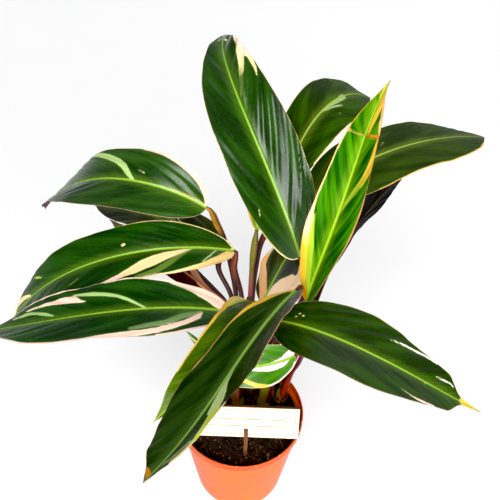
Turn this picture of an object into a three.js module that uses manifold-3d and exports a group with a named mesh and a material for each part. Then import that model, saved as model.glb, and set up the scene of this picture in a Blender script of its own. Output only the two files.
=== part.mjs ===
// Stromanthe triostar, a prayer plant with long cream-splashed leaves, in its nursery pot.
// Millimetres, +Z up. The origin is the centre of the pot's flat bottom, +Y is the back.
import * as THREE from "three";
import { mergeVertices } from "three/addons/utils/BufferGeometryUtils.js";
import Module from "manifold-3d";

const manifoldLibrary = await Module();
manifoldLibrary.setup();
const { Manifold, Mesh: ManifoldMesh } = manifoldLibrary;

// ---------------------------------------------------------------- driving dimensions
const SEAT_GAP = 0.3;
const HOLE_SIDES = 16;
const CUTTER_OVERRUN = 2;

const POT_HEIGHT = 110;
const POT_RIM_RADIUS = 60;
const POT_BASE_RADIUS = 44;
const POT_WALL = 1.3;
const POT_FLOOR = 1.6;
const POT_EDGE = 0.8;
const POT_BAND_HEIGHT = 7.4;
const POT_BAND_STEP = 2.4;
const POT_SIDES = 48;
const DRAIN_HOLES = 6;
const DRAIN_RING_RADIUS = 27;
const DRAIN_HOLE_RADIUS = 3.5;

const SOIL_TOP = 98;
const SOIL_RELIEF = 1.1;
const SOIL_COARSE_WAVE = 30;
const SOIL_FINE_WAVE = 16;
const SOIL_RINGS = 8;

const TAG_WIDTH = 100;
const TAG_HEIGHT = 34;
const TAG_THICKNESS = 3;
const TAG_CENTRE_X = 4;
const TAG_FOOT_Y = -31;
const TAG_FOOT_Z = 113;
const TAG_LEAN = 20.5;
const STAKE_X = 5.5;
const STAKE_WIDTH = 3.8;
const STAKE_THICKNESS = 3;
const STAKE_LAP = 10;
const STAKE_BURIED = 32;

const BLADE_THICKNESS = 0.8;
const BLADE_STATIONS = 14;
const BLADE_COLUMNS = [-1, -0.6, -0.2, 0, 0.2, 0.6, 1];
const BLADE_ARCH = 0.05;
const KEEL_DEPTH = 1.8;
const BASE_HALF_WIDTH = 1.6;
const TIP_HALF_WIDTH = 0.5;
const MARGIN_WAVE = 1.3;
const MARGIN_WAVES = 2.5;
const MARGIN_PHASE_STEP = 1.7;
const MIDRIB_STEPS = 80;

const SHEATH_RADIUS = 3.7;
const SHEATH_SHARE = 0.55;
const PETIOLE_RADIUS = 2.1;
const PETIOLE_FOOT_DEPTH = 4;
const PETIOLE_STEPS = 13;
const PETIOLE_SIDES = 7;
const PULVINUS_RADIUS = 2.9;
const PULVINUS_SHARE = 0.1;

// The crown of a shoot, from its buried foot up: share of the shoot's radius, height above soil.
const CROWN_DEPTH = 12;
const CROWN_OUTLINE = [[0, -CROWN_DEPTH], [1, -CROWN_DEPTH], [1, 2], [0.85, 8], [0.55, 14], [0, 16]];

// The shoots: where each stands in the soil, and how thick its clasped sheaths are there.
const SHOOTS = {
  left: { at: [-3, 13], radius: 8 },
  centre: { at: [9, 33], radius: 7 },
  right: { at: [21, 13], radius: 8 },
  low: { at: [38, 23], radius: 5.5 },
};

// What every blade shares unless its own entry says otherwise. widest: the widest place as a
// share of the length. point: how full the tip half is. fold: degrees that each half lifts.
// skew: how much wider the right half is. turn: length of the last bend of the petiole.
const USUAL_BLADE = { widest: 0.4, point: 3, fold: 10, skew: 0, turn: 15 };

// The leaves. base: where the blade begins. heading: degrees from +X at the base, the middle
// and the tip. rise: degrees above level at the same places. roll: degrees of tilt about the
// midrib at base and tip, right side up. bow: where the petiole passes on its way up.
const LEAVES = {
  leaf_01: {
    shoot: "right", base: [43, 20, 300], heading: [140, 120, 84], rise: [65, 35, -20],
    length: 228, width: 61, roll: [10, 25], point: 2.4, widest: 0.3, fold: 15,
    turn: 25, bow: [[30, 22, 190]],
  },
  leaf_02: {
    shoot: "centre", base: [25, 65, 305], heading: [70, 60, 55], rise: [75, 0, -35],
    length: 215, width: 50, roll: [-65, -10], widest: 0.5, fold: 0,
    turn: 8, bow: [[7, 40, 180], [7, 46, 223], [9, 52, 255], [14, 61, 282]],
  },
  leaf_03: {
    shoot: "right", base: [49, -10, 281], heading: [25, 65, 55], rise: [85, 50, 35],
    length: 185, width: 42, roll: [10, 15], point: 2, fold: 25, young: true,
    turn: 5, bow: [[38, 8, 200], [50, -5, 250]],
  },
  leaf_04: {
    shoot: "low", base: [52, 75, 309], heading: [55, 30, 30], rise: [10, 0, -22],
    length: 216, width: 60, roll: [-30, 10], widest: 0.45, point: 5, fold: 0,
    turn: 10, bow: [[55, 60, 200], [50, 75, 280]],
  },
  leaf_05: {
    shoot: "low", base: [65, 55, 205], heading: [55, 50, 40], rise: [70, 30, 15],
    length: 165, width: 50, roll: [80, 95],
    turn: 20, bow: [[50, 35, 150]],
  },
  leaf_06: {
    shoot: "right", base: [25, -35, 287], heading: [-30, -20, -5], rise: [25, -15, -30],
    length: 170, width: 61, roll: [0, 0], widest: 0.28, point: 2.3,
    turn: 3, bow: [[22, 5, 200], [28, -22, 260]],
  },
  leaf_07: {
    shoot: "right", base: [40, -15, 300], heading: [-125, -115, -122], rise: [10, 5, 18],
    length: 198, width: 58, roll: [-35, -35], point: 3.5, fold: 20,
    turn: 5, bow: [[30, 8, 200], [37, -2, 270]],
  },
  leaf_08: {
    shoot: "centre", base: [6, 15, 252], heading: [-80, -115, -145], rise: [45, 10, -30],
    length: 170, width: 38, roll: [10, 10], widest: 0.32, skew: 0.18,
    bow: [[8, 27, 180]],
  },
  leaf_09: {
    shoot: "left", base: [-12, -12, 268], heading: [195, 185, 170], rise: [28, -8, -24],
    length: 200, width: 60, roll: [10, -15], widest: 0.5, point: 3.5,
    turn: 10, bow: [[-7, 3, 190]],
  },
  leaf_10: {
    shoot: "left", base: [-10, 45, 280], heading: [195, 185, 180], rise: [23, -21, -60],
    length: 230, width: 54, roll: [15, 15],
    turn: 2, bow: [[-2, 16, 180], [-3, 28, 245], [-10, 39, 266]],
  },
  leaf_11: {
    shoot: "left", base: [-34, 60, 314], heading: [175, 155, 145], rise: [35, -25, -55],
    length: 207, width: 61, roll: [30, 0], widest: 0.35,
    turn: 4, bow: [[-4, 20, 190], [-8, 36, 238], [-14, 52, 260], [-19, 60, 278], [-25, 63, 292]],
  },
  leaf_12: {
    shoot: "left", base: [-21, 73, 263], heading: [155, 150, 150], rise: [5, -10, -20],
    length: 155, width: 41, roll: [10, 10],
    turn: 6, bow: [[-6, 24, 190], [-12, 36, 234], [-24, 50, 257]],
  },
  leaf_13: {
    shoot: "centre", base: [16, 66, 191], heading: [30, 30, 30], rise: [65, 65, 50],
    length: 77, width: 58, roll: [0, 0], widest: 0.45, skew: 0.25,
    bow: [[11, 47, 145]],
  },
  leaf_14: {
    shoot: "low", base: [44, -15, 219], heading: [225, 195, 180], rise: [15, 5, -15],
    length: 85, width: 35, roll: [60, 35], point: 2,
    turn: 10, bow: [[46, 16, 150], [50, 0, 190]],
  },
  leaf_15: {
    shoot: "centre", base: [8, 50, 300], heading: [75, 100, 125], rise: [70, 60, 50],
    length: 90, width: 22, roll: [10, 0],
    turn: 25, bow: [[5, 36, 180], [5, 41, 250]],
  },
  leaf_16: {
    shoot: "left", base: [-16, 42, 216], heading: [155, 145, 140], rise: [25, 10, -5],
    length: 145, width: 26, roll: [175, 175], turn: 12,
    bow: [[-8, 26, 165]],
  },
};
for (const name of Object.keys(LEAVES)) {
  LEAVES[name] = { ...USUAL_BLADE, ...LEAVES[name] };
}

// The spear: a young leaf still rolled up, on a petiole of its own.
const SPEAR = {
  shoot: "left", base: [-20, 5, 168], heading: [190, 190, 190], rise: [65, 65, 60],
  length: 65, radius: 3.4, turn: 15, bow: [[-10, 9, 130]],
};
const SPEAR_STEPS = 10;
const SPEAR_SIDES = 8;

// ---------------------------------------------------------------- finishes
function finish(colour, roughness) {
  return new THREE.MeshStandardMaterial({ color: colour, roughness, metalness: 0 });
}

const PLASTIC = 0xe86a28;
const SOIL_BROWN = 0x241812;
const PLYWOOD = 0xead9b4;
const BARK = 0x55402a;
const LEAF_GREEN = 0x1f4a22;
const YOUNG_GREEN = 0x86b52a;
const BURGUNDY = 0x5a1f26;

// ---------------------------------------------------------------- solids
function toManifold(geometry) {
  const bare = geometry.index ? geometry.toNonIndexed() : geometry.clone();
  bare.deleteAttribute("normal");
  bare.deleteAttribute("uv");
  const merged = mergeVertices(bare, 1e-4);
  return new Manifold(new ManifoldMesh({
    numProp: 3,
    vertProperties: new Float32Array(merged.attributes.position.array),
    triVerts: new Uint32Array(merged.index.array),
  }));
}

function toGeometry(solid) {
  const { vertProperties, triVerts } = solid.getMesh();
  const geometry = new THREE.BufferGeometry();
  geometry.setAttribute("position", new THREE.BufferAttribute(new Float32Array(vertProperties), 3));
  geometry.setIndex(new THREE.BufferAttribute(new Uint32Array(triVerts), 1));
  return geometry;
}

function geometryOf(points, triangles) {
  const geometry = new THREE.BufferGeometry();
  const flat = points.flatMap((point) => [point.x, point.y, point.z]);
  geometry.setAttribute("position", new THREE.Float32BufferAttribute(flat, 3));
  geometry.setIndex(triangles);
  return geometry;
}

function lathe(profile, sides) {
  const outline = profile.map(([radius, height]) => new THREE.Vector2(radius, height));
  const geometry = new THREE.LatheGeometry(outline, sides);
  geometry.rotateX(Math.PI / 2);
  return geometry;
}

function uprightCylinder(radius, bottom, top, x, y) {
  const geometry = new THREE.CylinderGeometry(radius, radius, top - bottom, HOLE_SIDES);
  geometry.rotateX(Math.PI / 2);
  geometry.translate(x, y, (top + bottom) / 2);
  return geometry;
}

// A place on a level circle about the pot's axis, in the direction of a share of a whole turn.
function onCircle(radius, share, z) {
  const angle = 2 * Math.PI * share;
  return new THREE.Vector3(radius * Math.cos(angle), radius * Math.sin(angle), z);
}

// ---------------------------------------------------------------- pot
const bandFoot = POT_HEIGHT - POT_BAND_HEIGHT;

// The outside of the wall under the band.
function wallRadius(height) {
  const shoulder = POT_RIM_RADIUS - POT_BAND_STEP;
  return POT_BASE_RADIUS + (shoulder - POT_BASE_RADIUS) * (height / bandFoot);
}

function potGeometry() {
  const profile = [
    [0, 0],
    [POT_BASE_RADIUS - POT_EDGE, 0],
    [POT_BASE_RADIUS, POT_EDGE],
    [wallRadius(bandFoot), bandFoot],
    [POT_RIM_RADIUS - POT_EDGE, bandFoot],
    [POT_RIM_RADIUS, bandFoot + POT_EDGE],
    [POT_RIM_RADIUS, POT_HEIGHT - POT_EDGE],
    [POT_RIM_RADIUS - POT_EDGE, POT_HEIGHT],
    [POT_RIM_RADIUS - POT_WALL, POT_HEIGHT - POT_EDGE],
    [wallRadius(bandFoot) - POT_WALL, bandFoot - POT_EDGE],
    [wallRadius(POT_FLOOR) - POT_WALL, POT_FLOOR],
    [0, POT_FLOOR],
  ];
  let pot = toManifold(lathe(profile, POT_SIDES));
  const [bottom, top] = [-CUTTER_OVERRUN, POT_FLOOR + CUTTER_OVERRUN];
  for (let hole = 0; hole < DRAIN_HOLES; hole += 1) {
    const { x, y } = onCircle(DRAIN_RING_RADIUS, hole / DRAIN_HOLES, 0);
    pot = pot.subtract(toManifold(uprightCylinder(DRAIN_HOLE_RADIUS, bottom, top, x, y)));
  }
  return toGeometry(pot);
}

// ---------------------------------------------------------------- tag and stake
const leanAngle = THREE.MathUtils.degToRad(TAG_LEAN);

// A place on the tag's front plane: x across, climb up the slope, depth behind the plane.
function onTag(x, climb, depth) {
  const y = TAG_FOOT_Y + climb * Math.sin(leanAngle) + depth * Math.cos(leanAngle);
  const z = TAG_FOOT_Z + climb * Math.cos(leanAngle) - depth * Math.sin(leanAngle);
  return new THREE.Vector3(x, y, z);
}

function leaningBoard(width, thickness, centreX, climbFrom, climbTo, depth) {
  const geometry = new THREE.BoxGeometry(width, thickness, climbTo - climbFrom);
  geometry.rotateX(-leanAngle);
  const middle = onTag(centreX, (climbFrom + climbTo) / 2, depth);
  geometry.translate(middle.x, middle.y, middle.z);
  return geometry;
}

function tagGeometry() {
  return leaningBoard(TAG_WIDTH, TAG_THICKNESS, TAG_CENTRE_X, 0, TAG_HEIGHT, TAG_THICKNESS / 2);
}

// The stake, or with an extra the hole that it stands in.
function stakeGeometry(extra) {
  const depth = -(SEAT_GAP + STAKE_THICKNESS / 2);
  const width = STAKE_WIDTH + 2 * extra;
  const thickness = STAKE_THICKNESS + 2 * extra;
  return leaningBoard(width, thickness, STAKE_X, -STAKE_BURIED - extra, STAKE_LAP, depth);
}

// ---------------------------------------------------------------- soil
function wave(distance, length) {
  return Math.sin((2 * Math.PI * distance) / length);
}

function soilHeight(x, y) {
  const coarse = wave(x, SOIL_COARSE_WAVE) * wave(y, SOIL_COARSE_WAVE);
  const fine = wave(x - y, SOIL_FINE_WAVE) / 2;
  return SOIL_TOP + SOIL_RELIEF * (coarse + fine);
}

// The soil before its holes: an uneven top of rings, a level edge, and a wall along the pot's.
function soilBody() {
  const edge = SOIL_TOP - SOIL_RELIEF;
  const edgeRadius = wallRadius(edge) - POT_WALL - SEAT_GAP;
  const foot = POT_FLOOR + SEAT_GAP;
  const footRadius = wallRadius(foot) - POT_WALL - SEAT_GAP;
  const points = [new THREE.Vector3(0, 0, soilHeight(0, 0))];
  for (let ring = 1; ring <= SOIL_RINGS; ring += 1) {
    for (let sector = 0; sector < POT_SIDES; sector += 1) {
      const point = onCircle((edgeRadius * ring) / SOIL_RINGS, sector / POT_SIDES, edge);
      if (ring < SOIL_RINGS) {
        point.z = soilHeight(point.x, point.y);
      }
      points.push(point);
    }
  }
  for (let sector = 0; sector < POT_SIDES; sector += 1) {
    points.push(onCircle(footRadius, sector / POT_SIDES, foot));
  }
  const footCentre = points.push(new THREE.Vector3(0, 0, foot)) - 1;

  const footRing = SOIL_RINGS + 1;
  const vertex = (ring, sector) => 1 + (ring - 1) * POT_SIDES + (sector % POT_SIDES);
  const triangles = [];
  for (let sector = 0; sector < POT_SIDES; sector += 1) {
    const next = sector + 1;
    triangles.push(0, vertex(1, sector), vertex(1, next));
    for (let ring = 1; ring < footRing; ring += 1) {
      triangles.push(vertex(ring, sector), vertex(ring + 1, sector), vertex(ring + 1, next));
      triangles.push(vertex(ring, sector), vertex(ring + 1, next), vertex(ring, next));
    }
    triangles.push(footCentre, vertex(footRing, next), vertex(footRing, sector));
  }
  return geometryOf(points, triangles);
}

function soilGeometry() {
  let soil = toManifold(soilBody());
  const bottom = SOIL_TOP - CROWN_DEPTH - SEAT_GAP;
  const top = SOIL_TOP + 2 * SOIL_RELIEF + CUTTER_OVERRUN;
  for (const { at: [x, y], radius } of Object.values(SHOOTS)) {
    soil = soil.subtract(toManifold(uprightCylinder(radius + SEAT_GAP, bottom, top, x, y)));
  }
  return toGeometry(soil.subtract(toManifold(stakeGeometry(SEAT_GAP))));
}

// ---------------------------------------------------------------- leaf blades
// The curve through three values at the base, the middle and the tip.
function through([first, middle, last], u) {
  return first * (1 - u) * (1 - 2 * u) + middle * 4 * u * (1 - u) + last * u * (2 * u - 1);
}

function direction(leaf, u) {
  const heading = THREE.MathUtils.degToRad(through(leaf.heading, u));
  const rise = THREE.MathUtils.degToRad(through(leaf.rise, u));
  const level = Math.cos(rise);
  return new THREE.Vector3(level * Math.cos(heading), level * Math.sin(heading), Math.sin(rise));
}

function midribPoint(leaf, u) {
  const point = new THREE.Vector3(...leaf.base);
  const steps = Math.max(1, Math.round(MIDRIB_STEPS * u));
  for (let step = 0; step < steps; step += 1) {
    const middle = (u * (step + 0.5)) / steps;
    point.addScaledVector(direction(leaf, middle), (leaf.length * u) / steps);
  }
  return point;
}

// The rolled frame at u: across points to the right half, up is the top face.
function bladeFrame(leaf, u) {
  const along = direction(leaf, u);
  const heading = THREE.MathUtils.degToRad(through(leaf.heading, u));
  const level = new THREE.Vector3(Math.sin(heading), -Math.cos(heading), 0);
  const upright = level.clone().cross(along);
  const roll = THREE.MathUtils.degToRad(leaf.roll[0] + (leaf.roll[1] - leaf.roll[0]) * u);
  const across = level.clone().multiplyScalar(Math.cos(roll)).addScaledVector(upright, Math.sin(roll));
  const up = upright.clone().multiplyScalar(Math.cos(roll)).addScaledVector(level, -Math.sin(roll));
  return { across, up };
}

// A round base end, then a full side that draws in to a point.
function outlineShare(leaf, u) {
  if (u < leaf.widest) {
    const before = 1 - u / leaf.widest;
    return Math.sqrt(1 - before * before);
  }
  return 1 - ((u - leaf.widest) / (1 - leaf.widest)) ** leaf.point;
}

function halfWidth(leaf, u) {
  const least = BASE_HALF_WIDTH + (TIP_HALF_WIDTH - BASE_HALF_WIDTH) * u;
  return Math.max(least, (leaf.width / 2) * outlineShare(leaf, u));
}

// A place on the top face: column runs from -1 at the left margin to 1 at the right one.
function bladePoint(leaf, u, column, phase) {
  const { across, up } = bladeFrame(leaf, u);
  const half = halfWidth(leaf, u) * (1 + Math.sign(column) * leaf.skew);
  const fold = THREE.MathUtils.degToRad(leaf.fold);
  const reach = Math.abs(column);
  const ripple = MARGIN_WAVE * reach ** 3 * Math.sin(2 * Math.PI * MARGIN_WAVES * u + phase + column);
  const fading = Math.min(1, half / (leaf.width / 4));
  const lift = half * (reach * Math.sin(fold) - BLADE_ARCH * reach * reach) + ripple * fading;
  return midribPoint(leaf, u)
    .addScaledVector(across, column * half * Math.cos(fold))
    .addScaledVector(up, lift);
}

// Stations crowd towards both ends, where the outline turns fastest. Top and bottom face are
// split along the same diagonals, and the bottom one has the midrib's keel.
function bladeGeometry(leaf, phase) {
  const columns = BLADE_COLUMNS.length;
  const points = [];
  for (let station = 0; station <= BLADE_STATIONS; station += 1) {
    const u = (1 - Math.cos((Math.PI * station) / BLADE_STATIONS)) / 2;
    const { up } = bladeFrame(leaf, u);
    const top = BLADE_COLUMNS.map((column) => bladePoint(leaf, u, column, phase));
    const bottom = BLADE_COLUMNS.map((column, index) => {
      const keel = column === 0 ? KEEL_DEPTH * (1 - u) : 0;
      return top[index].clone().addScaledVector(up, -BLADE_THICKNESS - keel);
    });
    points.push(...top, ...bottom);
  }

  const triangles = [];
  const topAt = (station, column) => 2 * columns * station + column;
  const bottomAt = (station, column) => topAt(station, column) + columns;
  const quad = (a, b, c, d) => triangles.push(a, b, c, a, c, d);
  const last = columns - 1;
  for (let station = 0; station < BLADE_STATIONS; station += 1) {
    const next = station + 1;
    for (let left = 0; left < last; left += 1) {
      const right = left + 1;
      quad(topAt(station, left), topAt(station, right), topAt(next, right), topAt(next, left));
      quad(bottomAt(next, right), bottomAt(station, right), bottomAt(station, left), bottomAt(next, left));
    }
    quad(bottomAt(station, 0), topAt(station, 0), topAt(next, 0), bottomAt(next, 0));
    quad(topAt(station, last), bottomAt(station, last), bottomAt(next, last), topAt(next, last));
  }
  const tip = BLADE_STATIONS;
  for (let left = 0; left < last; left += 1) {
    const right = left + 1;
    quad(topAt(0, right), topAt(0, left), bottomAt(0, left), bottomAt(0, right));
    quad(topAt(tip, left), topAt(tip, right), bottomAt(tip, right), bottomAt(tip, left));
  }
  return geometryOf(points, triangles);
}

// ---------------------------------------------------------------- stems
function curveThrough(points) {
  return new THREE.CatmullRomCurve3(points, false, "centripetal");
}

// A round tube along a curve with its own radius at each step, closed at both ends.
function taperedTube(curve, radiusAt, steps, sides) {
  const frames = curve.computeFrenetFrames(steps, false);
  const points = [];
  const triangles = [];
  for (let step = 0; step <= steps; step += 1) {
    const u = step / steps;
    const centre = curve.getPointAt(u);
    for (let side = 0; side < sides; side += 1) {
      const angle = (2 * Math.PI * side) / sides;
      points.push(centre.clone()
        .addScaledVector(frames.normals[step], Math.cos(angle) * radiusAt(u))
        .addScaledVector(frames.binormals[step], Math.sin(angle) * radiusAt(u)));
    }
  }
  for (let step = 0; step < steps; step += 1) {
    for (let side = 0; side < sides; side += 1) {
      const here = step * sides + side;
      const beside = step * sides + ((side + 1) % sides);
      triangles.push(here, beside, beside + sides, here, beside + sides, here + sides);
    }
  }
  const end = steps * sides;
  for (let side = 1; side < sides - 1; side += 1) {
    triangles.push(0, side + 1, side);
    triangles.push(end, end + side, end + side + 1);
  }
  return geometryOf(points, triangles);
}

// Thick where it is a sheath, thin along the stalk, swollen again at the pulvinus.
function petioleRadius(u) {
  const narrowing = THREE.MathUtils.smoothstep(u, 0, SHEATH_SHARE);
  const stalk = SHEATH_RADIUS + (PETIOLE_RADIUS - SHEATH_RADIUS) * narrowing;
  const swelling = THREE.MathUtils.smoothstep(u, 1 - 2 * PULVINUS_SHARE, 1 - PULVINUS_SHARE);
  return stalk + (PULVINUS_RADIUS - PETIOLE_RADIUS) * swelling;
}

// From the crown up to just short of the blade, which it meets end on.
function petioleCurve(leaf) {
  const [x, y] = SHOOTS[leaf.shoot].at;
  const along = direction(leaf, 0);
  const end = new THREE.Vector3(...leaf.base).addScaledVector(along, -SEAT_GAP);
  const bend = end.clone().addScaledVector(along, -leaf.turn);
  const bow = leaf.bow.map((place) => new THREE.Vector3(...place));
  const foot = new THREE.Vector3(x, y, SOIL_TOP - PETIOLE_FOOT_DEPTH);
  return curveThrough([foot, ...bow, bend, end]);
}

function crownGeometry({ at: [x, y], radius }) {
  const profile = CROWN_OUTLINE.map(([share, height]) => [share * radius, SOIL_TOP + height]);
  const geometry = lathe(profile, HOLE_SIDES);
  geometry.translate(x, y, 0);
  return geometry;
}

function stemsGeometry(name) {
  let stems = toManifold(crownGeometry(SHOOTS[name]));
  for (const leaf of [...Object.values(LEAVES), SPEAR]) {
    if (leaf.shoot === name) {
      const petiole = taperedTube(petioleCurve(leaf), petioleRadius, PETIOLE_STEPS, PETIOLE_SIDES);
      stems = stems.add(toManifold(petiole));
    }
  }
  return toGeometry(stems);
}

// A slim spindle: narrow at its base, widest in its lower half, drawn out to a fine tip.
function spearGeometry() {
  const spearRadius = (u) => TIP_HALF_WIDTH + (SPEAR.radius - TIP_HALF_WIDTH) * outlineShare(USUAL_BLADE, u);
  const curve = curveThrough([0, 0.5, 1].map((u) => midribPoint(SPEAR, u)));
  return taperedTube(curve, spearRadius, SPEAR_STEPS, SPEAR_SIDES);
}

// ---------------------------------------------------------------- the plant in its pot
const plant = new THREE.Group();

function place(name, geometry, material) {
  const mesh = new THREE.Mesh(geometry, material);
  mesh.name = name;
  plant.add(mesh);
}

place("pot", potGeometry(), finish(PLASTIC, 0.45));
place("soil", soilGeometry(), finish(SOIL_BROWN, 0.95));
place("tag_plaque", tagGeometry(), finish(PLYWOOD, 0.6));
place("tag_stake", stakeGeometry(0), finish(BARK, 0.7));

for (const name of Object.keys(SHOOTS)) {
  place(`stems_${name}`, stemsGeometry(name), finish(BURGUNDY, 0.4));
}

Object.entries(LEAVES).forEach(([name, leaf], index) => {
  const geometry = bladeGeometry(leaf, index * MARGIN_PHASE_STEP);
  place(name, geometry, finish(leaf.young ? YOUNG_GREEN : LEAF_GREEN, 0.35));
});
place("leaf_spear", spearGeometry(), finish(YOUNG_GREEN, 0.35));

export default plant;
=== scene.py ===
import itertools
import math

import bpy
import numpy as np
from mathutils import Matrix, Vector


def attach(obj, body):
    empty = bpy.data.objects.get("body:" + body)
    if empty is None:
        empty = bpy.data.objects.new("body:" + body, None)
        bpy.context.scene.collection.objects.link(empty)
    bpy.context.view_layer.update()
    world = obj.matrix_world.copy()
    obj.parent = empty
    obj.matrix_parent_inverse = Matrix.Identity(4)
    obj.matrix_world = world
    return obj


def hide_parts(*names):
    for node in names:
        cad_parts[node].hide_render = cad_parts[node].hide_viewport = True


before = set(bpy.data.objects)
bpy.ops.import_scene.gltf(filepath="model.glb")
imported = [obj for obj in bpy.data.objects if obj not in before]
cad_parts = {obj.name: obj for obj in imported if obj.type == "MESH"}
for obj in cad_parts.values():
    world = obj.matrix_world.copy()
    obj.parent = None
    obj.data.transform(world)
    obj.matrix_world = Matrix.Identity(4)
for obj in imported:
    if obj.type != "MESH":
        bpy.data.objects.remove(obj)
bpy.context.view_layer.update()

MM = 0.001

# ---------------------------------------------------------------- sizes shared with the CAD model
POT_HEIGHT = 110
POT_RIM_RADIUS = 60
POT_BASE_RADIUS = 44
POT_WALL = 1.3
POT_FLOOR = 1.6
POT_BAND_HEIGHT = 7.4
POT_BAND_STEP = 2.4
BAND_FOOT = POT_HEIGHT - POT_BAND_HEIGHT
DRAIN_HOLES = 6
DRAIN_RING_RADIUS = 27
DRAIN_HOLE_RADIUS = 3.5

SEAT_GAP = 0.3
SOIL_TOP = 98

TAG_WIDTH = 100
TAG_HEIGHT = 34
TAG_THICKNESS = 3
TAG_CENTRE_X = 4
TAG_FOOT_Y = -31
TAG_FOOT_Z = 113
TAG_LEAN = math.radians(20.5)
STAKE_X = 5.5
STAKE_WIDTH = 3.8
STAKE_THICKNESS = 3
STAKE_LAP = 10
STAKE_BURIED = 32

BLADE_ARCH = 0.05
KEEL_DEPTH = 1.8
BASE_HALF_WIDTH = 1.6
TIP_HALF_WIDTH = 0.5
MARGIN_WAVE = 1.3
MARGIN_WAVES = 2.5
MARGIN_PHASE_STEP = 1.7

SHEATH_RADIUS = 3.7
SHEATH_SHARE = 0.55
PETIOLE_RADIUS = 2.1
PETIOLE_FOOT_DEPTH = 4
PULVINUS_RADIUS = 2.9
PULVINUS_SHARE = 0.1
CROWN_OUTLINE = [(1, -12), (1, 2), (0.85, 8), (0.55, 14), (0.1, 16)]

SHOOTS = {
    "left": {"at": (-3, 13), "radius": 8},
    "centre": {"at": (9, 33), "radius": 7},
    "right": {"at": (21, 13), "radius": 8},
    "low": {"at": (38, 23), "radius": 5.5},
}

# What every blade shares unless its own entry says otherwise. drip and pinch: the share of
# the length round which the tip draws in, and by how much. pleat: the slope of the ridges in
# the left and in the right half. swell: what their lengths are multiplied by. crease: the
# share of the length where a fold crosses the blade, 0 for none.
USUAL_BLADE = dict(
    widest=0.4, point=3, fold=10, skew=0, turn=15, drip=0.93, pinch=0.25,
    pleat=(0.05, 0.05), swell=1.5, crease=0, slot="leaf_mature")

# The same leaves as in the CAD model: base, heading, rise, length, width, roll and bow, which
# is the course of the stalk. Three values hold for the base, the middle and the tip.
LEAVES = {
    "leaf_01": dict(
        shoot="right", base=(43, 20, 300), heading=(140, 120, 84), rise=(65, 35, -20),
        length=228, width=61, roll=(10, 25), widest=0.3, point=2.4, fold=15,
        turn=25, bow=[(30, 22, 190)], pleat=(0.04, 0.17), swell=2.4),
    "leaf_02": dict(
        shoot="centre", base=(25, 65, 305), heading=(70, 60, 55), rise=(75, 0, -35),
        length=215, width=50, roll=(-65, -10), widest=0.5, fold=0,
        turn=8, bow=[(7, 40, 180), (7, 46, 223), (9, 52, 255), (14, 61, 282)], pleat=(0.07, 0.07)),
    "leaf_03": dict(
        shoot="right", base=(49, -10, 281), heading=(25, 65, 55), rise=(85, 50, 35),
        length=185, width=42, roll=(10, 15), point=2, fold=25,
        turn=5, bow=[(38, 8, 200), (50, -5, 250)], pleat=(0.06, 0.06), swell=2,
        crease=0.755, slot="leaf_young"),
    "leaf_04": dict(
        shoot="low", base=(52, 75, 309), heading=(55, 30, 30), rise=(10, 0, -22),
        length=216, width=60, roll=(-30, 10), widest=0.45, point=5, fold=0,
        turn=10, bow=[(55, 60, 200), (50, 75, 280)], pleat=(0.06, 0.06)),
    "leaf_05": dict(
        shoot="low", base=(65, 55, 205), heading=(55, 50, 40), rise=(70, 30, 15),
        length=165, width=50, roll=(80, 95),
        turn=20, bow=[(50, 35, 150)], pleat=(0.1, 0.1)),
    "leaf_06": dict(
        shoot="right", base=(25, -35, 287), heading=(-30, -20, -5), rise=(25, -15, -30),
        length=170, width=61, roll=(0, 0), widest=0.28, point=2.3,
        turn=3, bow=[(22, 5, 200), (28, -22, 260)], drip=0.86, pinch=0.7),
    "leaf_07": dict(
        shoot="right", base=(40, -15, 300), heading=(-125, -115, -122), rise=(10, 5, 18),
        length=198, width=58, roll=(-35, -35), point=3.5, fold=20,
        turn=5, bow=[(30, 8, 200), (37, -2, 270)]),
    "leaf_08": dict(
        shoot="centre", base=(6, 15, 252), heading=(-80, -115, -145), rise=(45, 10, -30),
        length=170, width=38, roll=(10, 10), widest=0.32, skew=0.18,
        bow=[(8, 27, 180)]),
    "leaf_09": dict(
        shoot="left", base=(-12, -12, 268), heading=(195, 185, 170), rise=(28, -8, -24),
        length=200, width=60, roll=(10, -15), widest=0.5, point=3.5,
        turn=10, bow=[(-7, 3, 190)]),
    "leaf_10": dict(
        shoot="left", base=(-10, 45, 280), heading=(195, 185, 180), rise=(23, -21, -60),
        length=230, width=54, roll=(15, 15),
        turn=2, bow=[(-2, 16, 180), (-3, 28, 245), (-10, 39, 266)]),
    "leaf_11": dict(
        shoot="left", base=(-34, 60, 314), heading=(175, 155, 145), rise=(35, -25, -55),
        length=207, width=61, roll=(30, 0), widest=0.35,
        turn=4, bow=[(-4, 20, 190), (-8, 36, 238), (-14, 52, 260), (-19, 60, 278), (-25, 63, 292)],
        pleat=(0.06, 0.06)),
    "leaf_12": dict(
        shoot="left", base=(-21, 73, 263), heading=(155, 150, 150), rise=(5, -10, -20),
        length=155, width=41, roll=(10, 10),
        turn=6, bow=[(-6, 24, 190), (-12, 36, 234), (-24, 50, 257)]),
    "leaf_13": dict(
        shoot="centre", base=(16, 66, 191), heading=(30, 30, 30), rise=(65, 65, 50),
        length=77, width=58, roll=(0, 0), widest=0.45, skew=0.25,
        bow=[(11, 47, 145)]),
    "leaf_14": dict(
        shoot="low", base=(44, -15, 219), heading=(225, 195, 180), rise=(15, 5, -15),
        length=85, width=35, roll=(60, 35), point=2,
        turn=10, bow=[(46, 16, 150), (50, 0, 190)]),
    "leaf_15": dict(
        shoot="centre", base=(8, 50, 300), heading=(75, 100, 125), rise=(70, 60, 50),
        length=90, width=22, roll=(10, 0),
        turn=25, bow=[(5, 36, 180), (5, 41, 250)]),
    "leaf_16": dict(
        shoot="left", base=(-16, 42, 216), heading=(155, 145, 140), rise=(25, 10, -5),
        length=145, width=26, roll=(175, 175),
        turn=12, bow=[(-8, 26, 165)]),
}
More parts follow.
